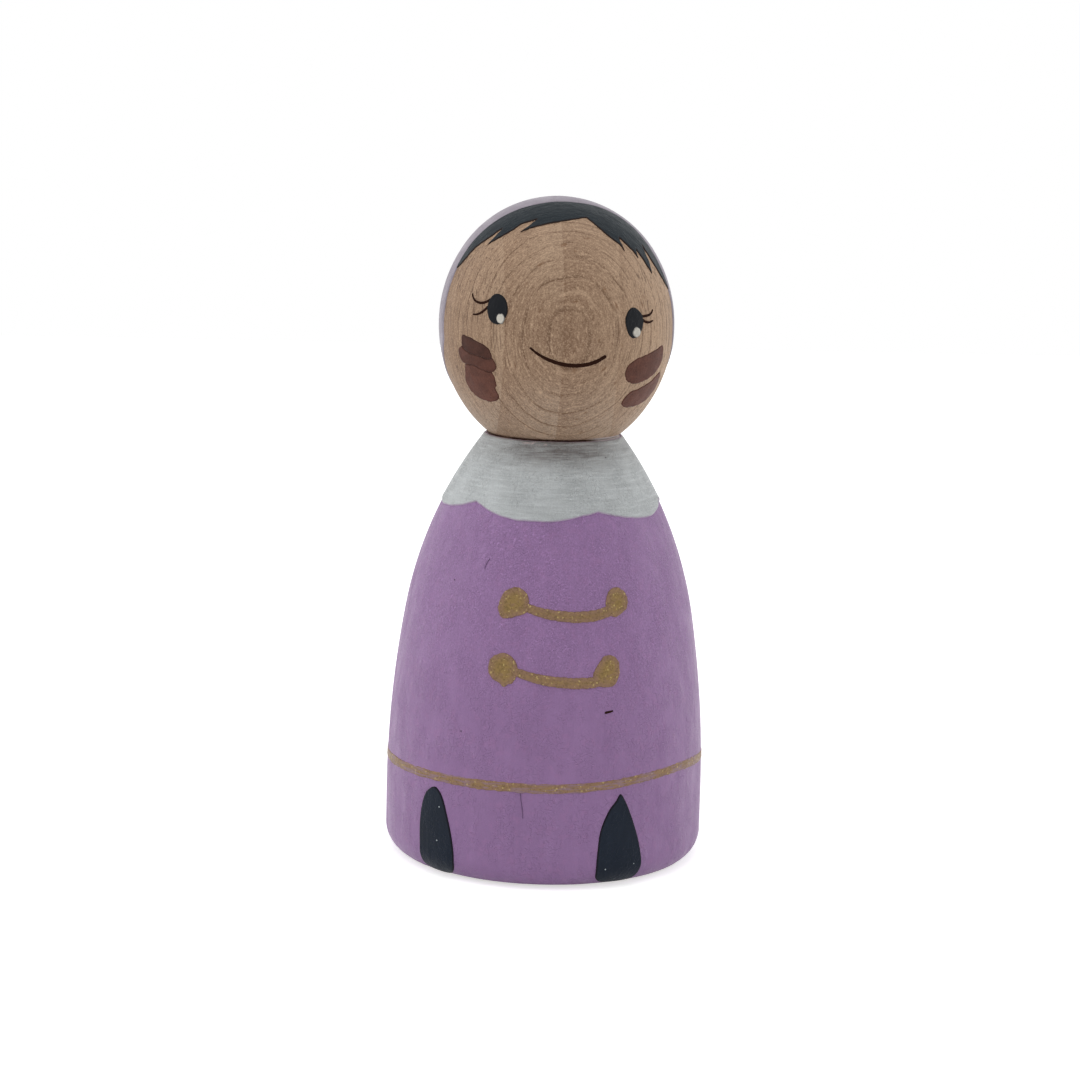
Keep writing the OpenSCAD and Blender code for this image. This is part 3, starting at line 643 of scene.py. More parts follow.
def sanded_wood(name):
    """Diffuse-porous hardwood such as birch or maple, turned and sanded: growth rings as contours on the curved face,
    small flecks along them, fine pore lines at the sides and upright tonal bands."""
    material, tree, place = new_material(name)
    rings, depth = ring_place(tree, place)
    parts = axes(tree, place)
    side = arithmetic(tree, "ABSOLUTE", parts[0])
    phase = arithmetic(tree, "FRACT", arithmetic(tree, "DIVIDE", depth, mm("ring_width")))
    late = product(tree, levels(tree, phase, 0.8, 0.97), levels(tree, phase, 1.0, 0.97))
    fade = stretched_noise(tree, place, (5.0, 5.0, 4.0))
    late = product(tree, late, levels(tree, fade, 0.36, 0.56, 0.25, 0.95))
    # Flecks along the rings' sheets, long thin arcs where the early wood is softer, and the sanded surface's grit
    flecks = stretched_noise(tree, rings, FLECK_CELLS, 2.0, 0.6)
    arcs = stretched_noise(tree, rings, (0.16, 5.0, 5.0), 2.0, 0.6)
    grit = stretched_noise(tree, place, GRIT_CELLS, 1.0)
    # Pore lines, up to 15 mm long, drawn 0.26 mm wide so that they show
    pores = stretched_noise(tree, place, (0.26, 0.26, 7.0), 2.0, 0.5)
    aside = levels(tree, side, 4.0, 12.0, 0.1, 0.9)
    lines = product(tree, levels(tree, pores, 0.56, 0.68), aside)
    # Tonal bands, each darkest at its left edge
    band = arithmetic(tree, "DIVIDE", arithmetic(tree, "ADD", parts[0], BAND_START), BAND_WIDTH)
    band = arithmetic(tree, "FRACT", band)
    cloud = stretched_noise(tree, place, (7.0, 7.0, 12.0), 2.0)
    light, dark = rgba(colours().wood), rgba(colours().wood_dark)
    base = blended(tree, levels(tree, cloud, 0.3, 0.7, 0.0, 0.3), light, dark)
    # The wood is darker towards the heart of the tree, and under the chin painted light turns it paler and greyer,
    # standing in for light bounced up from the white collar
    base = blended(tree, levels(tree, depth, 11.5, 16.0, 0.0, 0.55), base, dark)
    base = blended(tree, levels(tree, parts[2], 69.0, 60.0, 0.0, 0.35), base, rgba("#b1a79d"))
    base = blended(tree, product(tree, arithmetic(tree, "SUBTRACT", 1.0, band), 0.52), base, dark)
    # The wood is paler on the doll's left and darker on the doll's right
    base = blended(tree, levels(tree, parts[0], -3.0, -12.0, 0.0, 0.2), base, dark)
    base = blended(tree, levels(tree, parts[0], 3.0, 12.0, 0.0, 0.4), base, rgba(colours().wood, 1.3))
    base = blended(tree, late, base, rgba(colours().wood_dark, 0.72))
    spread = levels(tree, side, 11.5, 5.0, 0.4, 0.9)
    base = ruffled(tree, flecks, base, rgba(colours().wood_dark, 0.78), rgba(colours().wood, 1.3), spread, 0.3)
    base = ruffled(tree, arcs, base, rgba(colours().wood_dark, 0.8), rgba(colours().wood, 1.3), 0.5, 0.28)
    base = ruffled(tree, grit, base, rgba(colours().wood_dark, 0.75), rgba(colours().wood, 1.4), 0.55, 0.28)
    streaks = levels(tree, stretched_noise(tree, rings, (0.5, 1.6, 2.6)), 0.66, 0.74, 0.0, 0.6)
    base = blended(tree, streaks, base, rgba("#7d5a3e"))
    base = blended(tree, product(tree, lines, 0.85), base, rgba(colours().wood_dark, 0.5))
    # Glue and old varnish darken the seam at the neck here and there, and paint has run into it on the doll's left
    near = arithmetic(tree, "ABSOLUTE", arithmetic(tree, "SUBTRACT", parts[2], NECK_Z))
    broken = levels(tree, stretched_noise(tree, place, (1.0, 1.0, 1.0), 2.0), 0.36, 0.52, 0.25, 1.0)
    seam = product(tree, levels(tree, near, 0.3, 0.1), broken)
    base = blended(tree, product(tree, seam, 0.85), base, rgba("#4a2420"))
    run = product(tree, levels(tree, near, 0.45, 0.25), levels(tree, parts[0], 3.6, 5.6))
    base = blended(tree, run, base, rgba("#e2d9d6"))
    height = arithmetic(tree, "SUBTRACT", flecks, product(tree, lines, 0.5))
    shader(tree, base, levels(tree, flecks, 0.3, 0.7, 0.66, 0.5), bump(tree, height, 0.03),
           Specular_IOR_Level=0.25)
    return material


def random_cells(tree, place, size):
    """Distance from the nearest middle of cells strewn at random, and the three random values of that cell."""
    cells = add_node(tree, "ShaderNodeTexVoronoi", Vector=scaled(tree, place, 1 / size), Scale=1.0)
    shade = add_node(tree, "ShaderNodeSeparateColor", Color=cells.outputs["Color"])
    return cells.outputs["Distance"], shade.outputs


def pits(tree, place, spacing, size):
    """Sparse round pits: 1 inside a pit, 0 elsewhere."""
    distance, shade = random_cells(tree, place, spacing)
    near = levels(tree, distance, size / spacing, 0.6 * size / spacing)
    return product(tree, near, arithmetic(tree, "GREATER_THAN", shade[0], 0.45))


def edge_distance(tree):
    """Distance from the edge of a coat, in millimetres."""
    return add_node(tree, "ShaderNodeAttribute", {"attribute_name": "edge"}).outputs["Fac"]


def brushed_acrylic(name, tone, stroke=(6.0, 6.0, 0.5), relief=0.05, rim=None, rim_width=0.2, streak=0.1,
                    ruffle=0.3, tint=None, speck=0.0, roughness=0.45, cover=None, calm=None, sheen=0.25):
    """Craft acrylic, laid by brush: satin, with the wood's grain raised through it in ripples that follow the rings
    and carry a painted highlight on each crest and painted shade at its foot, fine grit, brush marks along the stroke,
    a few pits, and a rim of another tone where the edge stands proud."""
    material, tree, place = new_material(name)
    rings, _ = ring_place(tree, place)
    ripples = stretched_noise(tree, rings, (0.3, 0.65, 0.55), 1.0, 0.5)
    patch = levels(tree, stretched_noise(tree, place, (3.0, 3.0, 4.0), 2.0), 0.42, 0.54, 0.15, 1.0)
    grit = stretched_noise(tree, place, GRIT_CELLS, 1.0)
    marks = stretched_noise(tree, place, stroke, 3.0, 0.65)
    cloud = stretched_noise(tree, place, (6.0, 6.0, 9.0), 2.0)
    dark, light = rgba(tone, 0.7), rgba(tone, 1.45)
    base = ruffled(tree, marks, rgba(tone), dark, light, min(1.0, streak * 3))
    base = blended(tree, levels(tree, cloud, 0.35, 0.68, 0.0, streak * 2), base, light)
    if tint is not None:
        base = blended(tree, levels(tree, stretched_noise(tree, place, (0.9, 0.9, 1.1)), 0.5, 0.7, 0.0, 0.25), base,
                       rgba(tint))
    strength = ruffle
    if calm is not None:
        # The ripples' painted highlight and shade, and the grit's tone, are weaker lower down
        parts = axes(tree, place)
        strength = levels(tree, parts[2], calm[0], calm[1], 0.2 * ruffle, ruffle)
    # Painted highlight on each ripple's crest beside painted shade at its foot, along the ripples' contours
    painted_ripple_strength = product(tree, patch, strength)
    for middle, most, tone_there in ((0.52, 0.7, rgba(tone, 1.9)), (0.6, 0.7, dark)):
        off = arithmetic(tree, "ABSOLUTE", arithmetic(tree, "SUBTRACT", ripples, middle))
        ripple_highlight_and_shade = product(tree, levels(tree, off, 0.04, 0.0, 0.0, most), painted_ripple_strength)
        base = blended(tree, ripple_highlight_and_shade, base, tone_there)
    base = ruffled(tree, grit, base, dark, light, product(tree, strength, 0.8), 0.25)
    if cover is not None:
        base = cover(tree, place, base, marks)
    hole = pits(tree, place, 4.2, 0.15)
    base = blended(tree, product(tree, hole, 0.85), base, rgba(tone, 0.18))
    if speck:
        base = blended(tree, pits(tree, place, speck, 0.12), base, (0.5, 0.55, 0.57, 1.0))
    if rim is not None:
        near = levels(tree, edge_distance(tree), rim_width, rim_width * 0.25)
        base = blended(tree, near, base, rgba(rim))
    steps = product(tree, levels(tree, ripples, 0.53, 0.48, 0.0, 0.6), patch)
    height = arithmetic(tree, "MULTIPLY_ADD", marks, 0.5, arithmetic(tree, "MULTIPLY_ADD", grit, 0.5, steps))
    height = arithmetic(tree, "SUBTRACT", height, hole)
    shader(tree, base, levels(tree, marks, 0.3, 0.7, roughness - 0.05, roughness + 0.1), bump(tree, height, relief),
           Specular_IOR_Level=sheen)
    return material


def thin_and_shaded_at_neck(tree, place, base, marks):
    """White paint brushed thin under the chin, where the coat shows through in streaks along the brush, and darkened
    there in front as painted shadow of the head; a ragged pinkish rim is left at the very top on the doll's right."""
    parts = axes(tree, place)
    high = product(tree, levels(tree, parts[2], NECK_Z - 4.4, NECK_Z - 1.0),
                      levels(tree, parts[2], NECK_Z, NECK_Z - 0.8, 0.8, 1.0))
    front = levels(tree, arithmetic(tree, "ABSOLUTE", parts[0]), 9.0, 3.0, 0.3, 1.0)
    streaks = stretched_noise(tree, place, (2.2, 2.2, 0.2), 2.0, 0.6)
    thin_and_shadowed = arithmetic(tree, "MULTIPLY_ADD", marks, 0.45, product(tree, streaks, 0.55))
    thin_and_shadowed = product(tree, levels(tree, thin_and_shadowed, 0.34, 0.66, 0.4, 0.85), front)
    # Painted shadow of the head, laid in the streaks where the white is brushed thin: the front of the collar below
    # the neck goes towards brownish grey
    base = blended(tree, product(tree, thin_and_shadowed, high), base, rgba("#605552"))
    ragged = levels(tree, stretched_noise(tree, place, (0.9, 0.9, 0.5), 2.0), 0.48, 0.58, 0.0, 0.8)
    rim = product(tree, ragged, levels(tree, parts[2], NECK_Z - 0.6, NECK_Z - 0.3),
                  levels(tree, parts[0], -0.8, -2.0), levels(tree, parts[0], -5.4, -4.4))
    return blended(tree, rim, base, rgba("#cbb9b8"))


def gold_paint(name):
    """Metallic craft acrylic: bronze flakes in a clear binder, each painted darker or lighter at random as painted
    shade and light for its lean, and a few painted bright as glints, thin enough in the bars and at the edge for the
    coat beneath to tint it."""
    material, tree, place = new_material(name)
    _, shade = random_cells(tree, place, FLAKE)
    thin = stretched_noise(tree, place, (1.0, 1.0, 0.6), 2.0)
    near = levels(tree, edge_distance(tree), 1.2, 0.1, 0.0, 0.8)
    veil = arithmetic(tree, "MAXIMUM", near, levels(tree, thin, 0.46, 0.68, 0.0, 0.5))
    base = blended(tree, veil, rgba(colours().gold), rgba("#8a6b5c"))
    # Painted shade and light on the flakes for their leans, and painted glints on a few of them
    base = blended(tree, levels(tree, shade[0], 0.45, 0.0, 0.0, 0.5), base, rgba(colours().gold, 0.5))
    base = blended(tree, levels(tree, shade[0], 0.6, 1.0, 0.0, 0.3), base, rgba(colours().gold, 1.4))
    base = blended(tree, levels(tree, shade[1], 0.93, 0.99, 0.0, 0.75), base, rgba("#c2ac6e"))
    parts = axes(tree, place)
    dry = levels(tree, stretched_noise(tree, place, (2.2, 2.2, 0.25), 2.0), 0.48, 0.62, 0.0, 0.6)
    dry = product(tree, dry, levels(tree, parts[2], 24.0, 18.0))
    base = blended(tree, dry, base, rgba("#8d7389"))
    height = arithmetic(tree, "MULTIPLY_ADD", shade[2], 0.4, stretched_noise(tree, place, (0.3, 0.3, 0.3), 2.0))
    shader(tree, base, levels(tree, shade[1], 0.0, 1.0, 0.55, 0.38), bump(tree, height, 0.04), Metallic=0.3,
           Specular_IOR_Level=0.3)
    return material


def stained_stroke(name, gain, mottle):
    """Thinned brown acrylic: the grain shows through it, and it dries darker along its edge."""
    material, tree, place = new_material(name)
    rings, _ = ring_place(tree, place)
    flecks = stretched_noise(tree, rings, FLECK_CELLS, 2.0, 0.6)
    grit = stretched_noise(tree, place, GRIT_CELLS, 1.0)
    cloud = stretched_noise(tree, place, (1.8, 1.8, 1.1), 2.0)
    tone = colours().cheeks
    dark, light = rgba(tone, gain * 0.55), rgba(tone, gain * 1.5)
    base = blended(tree, levels(tree, cloud, 0.4, 0.62, 0.0, 0.65), rgba(tone, gain), light)
    base = ruffled(tree, flecks, base, dark, light, mottle, 0.26)
    base = ruffled(tree, grit, base, dark, light, mottle, 0.26)
    near = levels(tree, edge_distance(tree), 0.22, 0.04, 0.0, 0.4)
    base = blended(tree, near, base, dark)
    shader(tree, base, 0.5, bump(tree, flecks, 0.03), Specular_IOR_Level=0.12)
    return material


# Pieces, one operator each or one for a group of like pieces.

class PieceOperator:
    bl_options = {"REGISTER", "UNDO"}

    def execute(self, context):
        self.make()
        return {"FINISHED"}


class PEGDOLL_OT_wood(PieceOperator, bpy.types.Operator):
    """Turn the head, and give all the wood its grain"""
    bl_idname = "peg_doll.wood"
    bl_label = "Turned Wood"

    def make(self):
        wood = sanded_wood("sanded_hardwood")
        dowel = sanded_wood("fluted_dowel_wood")
        form, bevel, seat = head_form(), mm("neck_bevel"), mm("seat_width") / 2
        low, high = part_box("neck_dowel")
        socket_r, socket_z = (high.x - low.x) / 2 / MM + 0.05, high.z / MM + 0.5
        side = [p for p in form_points(form, 0) if p[1] > NECK_Z + bevel]
        outline = [(0, socket_z), (socket_r, socket_z), (socket_r, NECK_Z), (seat - 2 * bevel, NECK_Z)]
        # The bevel at the seat is rounded by sanding
        outline += [(seat - bevel * 0.9, NECK_Z + bevel * 0.12), (seat, NECK_Z + bevel * 0.45)]
        outline += side[:-1] + [(0, side[-1][1])]
        head = turn_on_lathe("turned_head", outline, sizes().turn_steps, closed=False)
        roughen(head, form, 0, 0.4)
        finish_piece(head, wood, "turned_wood", "head")
        for node, material in (("body", wood), ("neck_dowel", dowel)):
            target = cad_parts[node]
            target.data.materials.clear()
            target.data.materials.append(material)


class PEGDOLL_OT_coat(PieceOperator, bpy.types.Operator):
    """Brush the lilac coat over the whole body"""
    bl_idname = "peg_doll.coat"
    bl_label = "Lilac Coat"

    def make(self):
        form, thick = body_form(), mm("coat")
        foot, top = mm("paint_foot"), NECK_Z - mm("neck_bevel")
        outer = [p for p in form_points(form, thick) if foot + 0.1 < p[1] < top - 0.1]
        inner = [p for p in form_points(form, -0.02, spacing=2.5) if foot + 0.1 < p[1] < top - 0.1]
        radius, _, _ = side_at_height(form, np.array([foot, top]))
        # Both ends of the coat are rounded like any brushed edge
        low_end = [(radius[0], foot), (radius[0] + thick * 0.6, foot + 0.02)]
        top_end = [(radius[1], top), (radius[1] + thick, top - 0.02)]
        outline = low_end + inner + top_end + outer[::-1]
        coat = turn_on_lathe("lilac_coat", outline, sizes().turn_steps, closed=True)
        roughen(coat, form, thick)
        paint = brushed_acrylic("lilac_acrylic", colours().coat, stroke=(2.0, 2.0, 8.0), relief=0.12, streak=0.05,
                                ruffle=0.75, tint="#a777a6", calm=(20.0, 36.0), sheen=0.4)
        finish_piece(coat, paint, "lilac_paint", "coat_paint")


# Reach at which the collar's chart is wrapped round the axis, and the same for the charts on the head
COLLAR_REACH = 14.0
HEAD_REACH = 15.8
# Azimuths of the corners between the collar's six scallops, in degrees, counted once round. Heights of each corner
# and of the lowest place after it, in shares of a scallop's height
COLLAR_CORNERS = (-113, -50, 19, 79, 136, 190, 247)
CORNER_SHARES = (1, 1.17, 0.83, 1, 1.1, 0.9, 1)
LOW_SHARES = (0.25, 0, 0, 0.1, 0, 0.15)


def collar_edge(azimuth):
    """Height of the collar's scalloped edge at each azimuth, in degrees."""
    corners, ends, lows = (np.asarray(values, float) for values in (COLLAR_CORNERS, CORNER_SHARES, LOW_SHARES))
    a = (azimuth - corners[0]) % 360 + corners[0]
    i = np.clip(np.searchsorted(corners, a, side="right") - 1, 0, len(corners) - 2)
    middle, half = (corners[i] + corners[i + 1]) / 2, (corners[i + 1] - corners[i]) / 2
    arch = (1 - np.cos(np.radians(a - middle))) / (1 - np.cos(np.radians(half)))
    along = (a - middle + half) / (2 * half)
    chord = ends[i] * (1 - along) + ends[i + 1] * along
    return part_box("collar_paint")[0].z / MM + mm("scallop") * (lows[i] + (chord - lows[i]) * arch)


class PEGDOLL_OT_collar(PieceOperator, bpy.types.Operator):
    """Lay the thick white collar with its scalloped edge"""
    bl_idname = "peg_doll.collar"
    bl_label = "White Collar"

    def make(self):
        form, reach = body_form(), COLLAR_REACH
        top = NECK_Z - mm("neck_bevel")

        def inside(u, v):
            azimuth = np.degrees(u / reach)
            ring = np.stack([reach * np.sin(u / reach), reach * np.cos(u / reach), v * 0], 1)
            wobble = 0.07 * smooth_noise(ring, (1.1, 1.1, 1))
            slope = (collar_edge(azimuth + 1) - collar_edge(azimuth - 1)) / (2 * math.radians(1) * reach)
            return np.minimum((v - collar_edge(azimuth) + wobble) / np.sqrt(1 + slope ** 2), top - v)

        span = math.pi * reach
        collar = lay_paint("white_collar", round_chart(form, reach), inside, ((-span, span), (46, top)), 0.17,
                           mm("collar") * 0.9, mm("coat"), roll=0.26, bead=0.2, ring=True)
        paint = brushed_acrylic("white_acrylic", colours().collar, stroke=(4.0, 4.0, 0.3), relief=0.13,
                                rim="#b9a9bd", rim_width=0.2, streak=0.16, ruffle=0.35, cover=thin_and_shaded_at_neck)
        finish_piece(collar, paint, "white_paint", "collar_paint")


# Outlines of the dots in shares of their diameter, and courses of the bars in shares of their width and sag
DOT_SHARES = {
    "upper": ((
        (0.16, 0.52), (0.39, 0.38), (0.48, 0.21), (0.49, -0.02), (0.42, -0.28), (0.13, -0.41), (-0.16, -0.5),
        (-0.4, -0.49), (-0.49, -0.28), (-0.48, -0.08), (-0.38, 0.21), (-0.21, 0.41), (-0.02, 0.5),
    ), (
        (-0.1, 0.62), (0.14, 0.57), (0.35, 0.38), (0.45, 0.11), (0.41, -0.17), (0.28, -0.34), (0.03, -0.49),
        (-0.21, -0.48), (-0.45, -0.3), (-0.47, 0.04), (-0.41, 0.35), (-0.28, 0.55),
    )),
    "lower": ((
        (0.04, 0.53), (0.24, 0.47), (0.41, 0.29), (0.47, 0.06), (0.43, -0.26), (0.32, -0.44), (0.19, -0.49),
        (0.04, -0.59), (-0.11, -0.47), (-0.31, -0.38), (-0.44, -0.21), (-0.47, 0.03), (-0.4, 0.29), (-0.22, 0.45),
    ), (
        (0.13, 0.6), (0.33, 0.51), (0.48, 0.32), (0.52, 0.15), (0.52, -0.2), (0.39, -0.5), (0.24, -0.63),
        (0.08, -0.66), (-0.18, -0.64), (-0.39, -0.56), (-0.56, -0.18), (-0.42, 0.17), (-0.17, 0.52), (-0.01, 0.6),
    )),
}
BAR_SHARES = {
    "upper": ((-0.415, -0.11), (-0.207, -0.91), (0.252, -1.2), (0.444, -0.4)),
    "lower": ((-0.415, 0), (-0.2, -0.8), (0.25, -1.05), (0.44, -0.75)),
}
BAR_WIDTH_SHARES = (0.7, 1, 0.95)
# Drop from the collar's lowest place, and sideways place towards the doll's left
FASTENING_PLACES = {"upper": (10.2, 0.35), "lower": (18.7, -0.95)}


class PEGDOLL_OT_fastenings(PieceOperator, bpy.types.Operator):
    """Paint the two gold fastenings"""
    bl_idname = "peg_doll.fastenings"
    bl_label = "Gold Fastenings"

    def make(self):
        paint = gold_paint("gold_acrylic")
        half, low = mm("fastening_width") / 2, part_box("collar_paint")[0].z / MM
        for name, (drop, middle) in FASTENING_PLACES.items():
            sizes_there = zip(DOT_SHARES[name], (mm("big_dot"), mm("small_dot")), (-half, half))
            dots = [smooth_loop(stretched(dot, size, size)) + (middle + side, 0) for dot, size, side in sizes_there]
            course = stretched(BAR_SHARES[name], 2 * half, mm("fastening_sag")) + (middle, 0)
            widths = np.multiply(BAR_WIDTH_SHARES, mm("bar_width"))

            def inside(u, v):
                ragged = ragged_edge(u, v, 0.05, 0.35)
                drawn = [in_loop(u, v, dot) for dot in dots] + [in_stroke(u, v, course, widths)]
                return np.max(drawn, 0) + ragged

            spans = ((middle - half - 2.3, middle + half + 2.1), (-2.9, 2.4))
            place = front_chart(body_form(), 0, low - drop)
            piece = lay_paint(name + "_fastening", place, inside, spans, 0.09, mm("gold"), mm("coat"))
            finish_piece(piece, paint, "gold_paint", name + "_frog")


def hem_line(azimuth):
    """Height of the hand-drawn hem line at each azimuth, in degrees: it crests on one side and dips on another."""
    a = (azimuth + 180) % 360 - 180
    ripple_highlight_and_shade = np.exp(-(((a - 48) / 30) ** 2))
    dip = np.exp(-((((a + 98 + 180) % 360 - 180) / 38) ** 2))
    return mm("hem_height") + ripple_highlight_and_shade - 0.45 * dip


class PEGDOLL_OT_hem(PieceOperator, bpy.types.Operator):
    """Draw the gold line round the skirt"""
    bl_idname = "peg_doll.hem"
    bl_label = "Gold Hem"

    def make(self):
        form, reach, width = body_form(), mm("body_width") / 2, mm("hem_width")

        def inside(u, v):
            round_place = np.stack([reach * np.sin(u / reach), reach * np.cos(u / reach), v], 1)
            ragged = 0.09 * smooth_noise(round_place, (0.5, 0.5, 0.4)) + 0.07 * smooth_noise(round_place, (5, 5, 9))
            return width / 2 - np.abs(v - hem_line(np.degrees(u / reach))) + ragged

        span = math.pi * reach
        hem = lay_paint("gold_hem", round_chart(form, reach), inside, ((-span, span), (12, 16)), 0.15,
                        mm("gold") * 0.5, mm("coat"), ring=True)
        finish_piece(hem, bpy.data.materials["gold_acrylic"], "gold_paint", "hem_band")


BOOT_RIGHT_SHARES = (
    (-0.1, 1), (-0.3, 0.93), (-0.42, 0.81), (-0.5, 0.6), (-0.5, 0.35), (-0.48, 0.2), (-0.43, 0.11), (-0.26, 0.065),
    (0.03, 0.05), (0.3, 0.06), (0.45, 0.115), (0.52, 0.2), (0.51, 0.35), (0.4, 0.6), (0.21, 0.88), (0.05, 0.985),
)
BOOT_LEFT_SHARES = (
    (-0.04, 1), (-0.14, 0.93), (-0.3, 0.82), (-0.45, 0.62), (-0.5, 0.36), (-0.51, 0.2), (-0.47, 0.115), (-0.3, 0.062),
    (0.05, 0.052), (0.31, 0.06), (0.43, 0.11), (0.49, 0.2), (0.48, 0.3), (0.39, 0.5), (0.24, 0.72), (0.09, 0.9),
)


class PEGDOLL_OT_boots(PieceOperator, bpy.types.Operator):
    """Paint the two boots"""
    bl_idname = "peg_doll.boots"
    bl_label = "Boots"

    def make(self):
        paint = brushed_acrylic("boot_acrylic", colours().boots, stroke=(0.9, 0.9, 5.0), relief=0.05, rim="#0e0b16",
                                rim_width=0.28, streak=0.14, speck=2.2, roughness=0.38, sheen=0.12)
        for name, azimuth, shares, width in (
            ("boot_right", -46.5, BOOT_RIGHT_SHARES, mm("boot_right_width")),
            ("boot_left", 22.5, BOOT_LEFT_SHARES, mm("boot_left_width")),
        ):
            tall = float(hem_line(np.array([azimuth]))[0]) - mm("hem_width") / 2 - mm("boot_gap")
            loop = smooth_loop(stretched(shares, width, tall))
            foot = mm("paint_foot")

            def inside(u, v):
                return np.minimum(in_loop(u, v, loop), v - foot)

            spans = ((-width / 2 - 0.5, width / 2 + 0.5), (foot - 0.1, tall + 0.6))
            place = front_chart(body_form(), math.radians(azimuth), 0)
            piece = lay_paint("painted_" + name, place, inside, spans, 0.13, mm("dark"), mm("coat"), roll=0.15)
            finish_piece(piece, paint, "boot_paint", name)


# Front edge of the hood seen from above, as shares of the head's radius sideways and of hood_front forward
HOOD_EDGE_SHARES = (
    (-1.2, 0.82), (-0.75, 0.85), (-0.5, 0.97), (-0.22, 1.1), (0.12, 1.07), (0.3, 0.9), (0.48, 0.84),
    (0.6, 0.87), (0.75, 1.03), (0.85, 1.16), (0.94, 1.05), (1.2, 1.0),
)


def hood_side():
    """Outline of the hood seen from the side: distance behind the axis, and height above the widest place."""
    reach, sweep, nape, drop = 1.2 * mm("hood_front"), mm("hood_sweep"), mm("hood_nape"), mm("chin_height")
    bend = 0.45 * (sweep + drop)
    sweep_points = curve_points([(-reach, sweep), (-reach, sweep - bend), (nape, bend - drop), (nape, -drop)], 16)
    return np.concatenate([[(-reach, 20)], sweep_points, [(nape, -20), (30, -20), (30, 20)]])


def behind_edge(points):
    """Distance of points behind the hood's front edge."""
    sideways, forward = np.array(HOOD_EDGE_SHARES).T
    return points[:, 1] + mm("hood_front") * np.interp(points[:, 0], sideways * mm("head_width") / 2, forward)


class PEGDOLL_OT_hood(PieceOperator, bpy.types.Operator):
    """Brush the hood over the back and the crown of the head"""
    bl_idname = "peg_doll.hood"
    bl_label = "Hood"

    def make(self):
        form, reach, middle, loop = head_form(), HEAD_REACH, head_middle(), hood_side()
        place, foot = dome_chart(form, reach), NECK_Z + mm("neck_bevel")

        def inside(u, v):
            base, _ = place(u, v)
            ragged = 0.06 * smooth_noise(base, (0.6, 0.6, 0.6))
            swept = np.minimum(in_loop(base[:, 1], base[:, 2] - middle, loop), behind_edge(base))
            return np.minimum(swept + ragged, base[:, 2] - foot)

        spans = ((-math.pi * reach, math.pi * reach), (-CHIN_LEAN * reach, math.pi / 2 * reach))
        hood = lay_paint("painted_hood", place, inside, spans, 0.3, mm("hood"), 0.0, roll=0.2, bead=0.1, ring=True)
        paint = brushed_acrylic("hood_acrylic", colours().hood, stroke=(3.0, 3.0, 3.0), relief=0.06, streak=0.08)
        finish_piece(hood, paint, "hood_paint", "hood_paint")


HAIR_TILT = math.radians(30)
HAIR_SHARES = (
    (-1.1, 0.36), (-0.89, 0.3), (-0.845, 0.305), (-0.73, 0.397), (-0.59, 0.455), (-0.515, 0.5), (-0.657, 0.36),
    (-0.54, 0.4), (-0.43, 0.45), (-0.37, 0.495), (-0.24, 0.53), (-0.33, 0.45), (-0.39, 0.405), (-0.28, 0.435),
    (-0.13, 0.47), (0.02, 0.502), (0.17, 0.552), (0.27, 0.445), (0.375, 0.35), (0.44, 0.315), (0.495, 0.24),
    (0.44, 0.39), (0.56, 0.29), (0.607, 0.24), (0.59, 0.325), (0.68, 0.21), (0.74, 0.145), (0.72, 0.24),
    (0.655, 0.415), (0.7, 0.345), (0.75, 0.28), (0.8, 0.23), (0.87, 0.165), (0.93, 0.15), (1.1, 0.5), (0, 1.4),
)


class PEGDOLL_OT_hair(PieceOperator, bpy.types.Operator):
    """Paint the ragged fringe of hair in front of the hood"""
    bl_idname = "peg_doll.hair"
    bl_label = "Hair"

    def make(self):
        form, reach, middle = head_form(), HEAD_REACH, head_middle()
        half = mm("head_width") / 2
        loop, place = stretched(HAIR_SHARES, half, half), dome_chart(form, reach)

        def inside(u, v):
            base, _ = place(u, v)
            up = base[:, 1] * math.sin(HAIR_TILT) + (base[:, 2] - middle) * math.cos(HAIR_TILT)
            ragged = 0.05 * smooth_noise(base, (0.4, 0.4, 0.4))
            return np.minimum(in_loop(base[:, 0], up, loop) + ragged, 0.2 - behind_edge(base))

        quarter = math.radians(78) * reach
        hair = lay_paint("painted_hair", place, inside, ((-quarter, quarter), (0, math.radians(82) * reach)), 0.14,
                         mm("dark"), 0.0, roll=0.14, bead=0.1)
        paint = brushed_acrylic("hair_acrylic", colours().hair, stroke=(1.2, 0.5, 2.5), relief=0.06, rim="#2a1d19",
                                rim_width=0.18, streak=0.14, speck=2.6, roughness=0.4, sheen=0.12)
        finish_piece(hair, paint, "hair_paint", "hair")


EYE_AZIMUTH = math.radians(35)
EYE_UP = {"right": 2.8, "left": 1.4}
EYE_SHARES = {
    "right": (
        (-0.13, 0.49), (0.14, 0.45), (0.38, 0.29), (0.5, 0.03), (0.46, -0.21), (0.2, -0.47),
        (-0.12, -0.47), (-0.33, -0.36), (-0.45, -0.17), (-0.5, 0.03), (-0.45, 0.25), (-0.33, 0.41),
    ),
    "left": (
        (-0.07, 0.5), (0.18, 0.45), (0.42, 0.28), (0.51, 0.1), (0.5, -0.06), (0.35, -0.33),
        (0, -0.5), (-0.27, -0.41), (-0.43, -0.2), (-0.5, 0.07), (-0.42, 0.28), (-0.26, 0.43),
    ),
}
HIGHLIGHT_SHARES = {"right": (0.22, -0.3), "left": (0.1, -0.31)}
DOT_SLIMNESS = {"right": 1.06, "left": 0.92}
